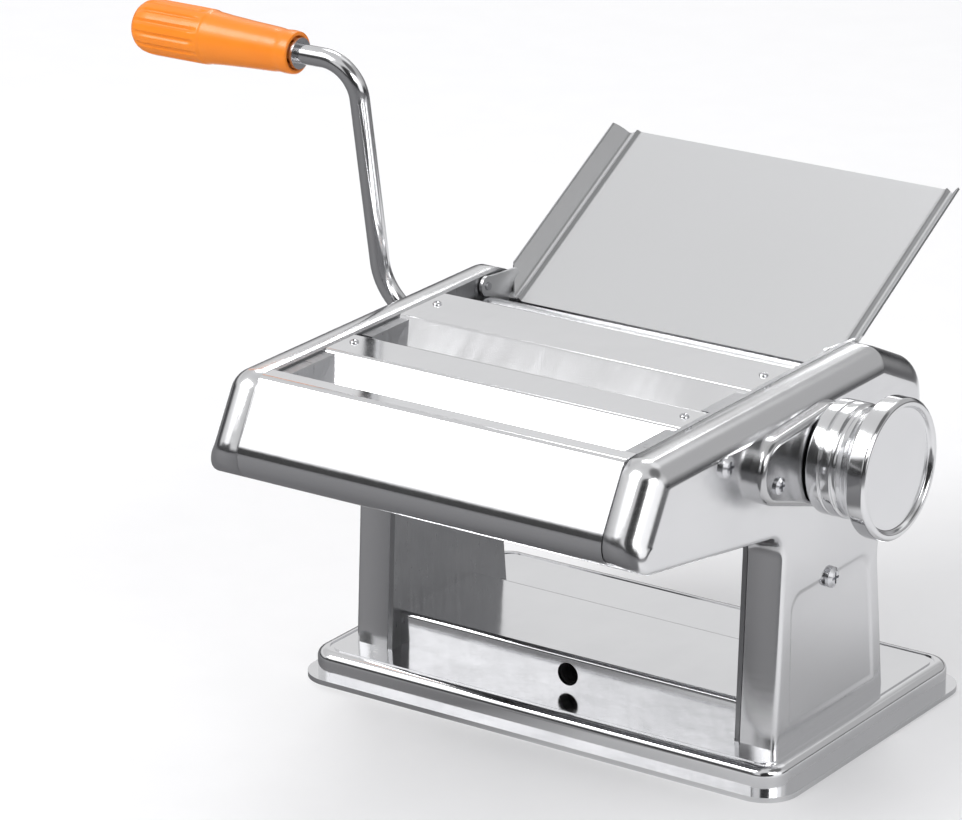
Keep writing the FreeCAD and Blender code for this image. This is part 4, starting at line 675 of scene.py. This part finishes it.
# the flutes need a fine line to fade along
flute_step = 0.9
fine_line = []
for (x0, r0), (x1, r1) in zip(grip_line, grip_line[1:]):
    parts = max(1, round(math.hypot(x1 - x0, r1 - r0) / flute_step))
    fine_line += [(x0 + (x1 - x0) * k / parts, r0 + (r1 - r0) * k / parts) for k in range(parts)]
fine_line.append(grip_line[-1])
flute_count, flute_depth, land = 14, 0.75, 0.15
flute_root, root_fade, flute_tip, tip_fade = -191.5, 5.0, -226.5, 7.0


def flutes(x, angle):
    """Shallow grooves along the outer half, fading at both ends."""
    from_root = min(max((flute_root - x) / root_fade, 0.0), 1.0)
    from_tip = min(max((x - flute_tip) / tip_fade, 0.0), 1.0)
    groove = max(0.0, math.cos(flute_count * angle) - land) / (1.0 - land)
    return -flute_depth * ease(from_root * from_tip) * groove


grip = lathe("grip_moulded", fine_line, grip_centre, 16 * flute_count, orange_finish, flutes)
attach(grip, "grip")
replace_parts(grip, "crank_grip")


# Knob
# Turned from aluminium bar and polished, with fine turning rings, and pressed on the selector. It has
# a collar with a cut line, a neck in two steps, and a broad disc dished inside a narrow rim.
knob_finish = polished_sheet("knob_turned", 0.84, 0.12, (900.0, 30.0, 30.0))
knob_centre = -20.64, 120.03
knob_line = rounded([
    (105.5, 4.1), (102.15, 4.1), (102.1, 20.6), (102.9, 21.5), (107.6, 21.5), (107.9, 20.9),
    (108.5, 20.9), (108.8, 21.5), (112.6, 21.5), (113.0, 20.6), (114.2, 20.2), (117.0, 21.2),
    (120.2, 23.4), (121.6, 24.6), (122.0, 24.6), (122.2, 26.0), (122.9, 26.5), (128.9, 26.5),
    (130.1, 25.4), (130.1, 23.9), (129.6, 23.4), (128.4, 22.9), (128.2, 22.4), (128.1, 21.0),
    (128.1, 0.4)], 0.45)
knob = lathe("knob_turned_piece", knob_line, knob_centre, 160, knob_finish)
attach(knob, "knob")
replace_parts(knob, "selector_knob")


# Feed tray
# Thin stainless sheet with a fine satin grain along its length, resting on the rear of the head. Each
# side has a rolled bead beside the fold and a splayed flange that runs down to the hinge ear.
tray = Paint("satin_sheet")
grain = tray.noise(tray.place((1400.0, 260.0, 260.0)), 1.0, 4.0, 0.7)
cloud = tray.noise(tray.place(), 9.0, 2.0)
tray_tone = tray.mix(cloud, (0.79, 0.795, 0.80, 1.0), (0.74, 0.745, 0.755, 1.0))
tray_rough = tray.span(grain * 0.5 + cloud * 0.5, 0.3, 0.7, 0.29, 0.35)
tray_finish = tray.finish(Base_Color=tray_tone, Metallic=1.0, Roughness=tray_rough,
                          Normal=tray.bump(cloud, 0.05, 0.002))
dress("tray_ears", tray_finish)
slope, splay = math.radians(29.15), math.radians(39.0)
low_edge_y, low_edge_z, sheet_thickness = 28.0, 133.2, 0.9
# half of the section from the middle outwards: x, height above the sheet, low end and high end
section = [
    (0.0, 0.0, 0.3, 97.4), (30.0, 0.0, 0.3, 97.4), (60.0, 0.0, 0.3, 97.4), (68.6, 0.0, 0.3, 97.4),
    (69.5, 0.02, 0.4, 97.4), (70.0, 0.35, 0.5, 97.3), (70.4, 0.95, 0.6, 97.2), (70.9, 1.25, 0.7, 97.1),
    (71.4, 0.95, 0.8, 97.0), (71.8, 0.35, 0.9, 96.9), (72.2, 0.02, 1.0, 96.8), (72.6, 0.02, 1.1, 96.7)]
fold_x, fold_radius, fold_steps = 72.6, 1.6, 6
for step in range(1, fold_steps + 1):
    bend = (math.pi / 2 - splay) * step / fold_steps
    section.append((fold_x + fold_radius * math.sin(bend), fold_radius * (1 - math.cos(bend)),
                    1.2 + 0.2 * step, 96.6 - 0.2 * step))
root_x, root_up = section[-1][0], section[-1][1]
flange_width, flange_steps = 7.6, 12
for step in range(1, flange_steps + 1):
    share = step / flange_steps
    section.append((root_x + flange_width * share * math.sin(splay),
                    root_up + flange_width * share * math.cos(splay),
                    2.6 + 10.6 * share, 95.3 - 1.5 * share ** 2))
lip = flange_width + 0.3
section.append((root_x + lip * math.sin(splay) + 0.25, root_up + lip * math.cos(splay) - 0.1,
                13.4, 93.7))
across = [(-x, rise, low, high) for x, rise, low, high in reversed(section[1:])] + section
form = bmesh.new()
columns = []
run_steps = 32
for x, rise, low, high in across:
    column = []
    for step in range(run_steps + 1):
        share = step / run_steps
        run = low + (high - low) * (share * 0.7 + 0.3 * ease(share))
        y = low_edge_y + run * math.cos(slope) - rise * math.sin(slope)
        z = low_edge_z + run * math.sin(slope) + rise * math.cos(slope)
        column.append(form.verts.new((x * MM, y * MM, z * MM)))
    columns.append(column)
for one, other in zip(columns, columns[1:]):
    for step in range(run_steps):
        form.faces.new((one[step], other[step], other[step + 1], one[step + 1]))
bmesh.ops.recalc_face_normals(form, faces=form.faces)
bmesh.ops.solidify(form, geom=form.faces[:], thickness=sheet_thickness * MM)
tray_piece = soft_piece("tray_pressed", form, 40, tray_finish)
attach(tray_piece, "tray")
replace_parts(tray_piece, "feed_tray")
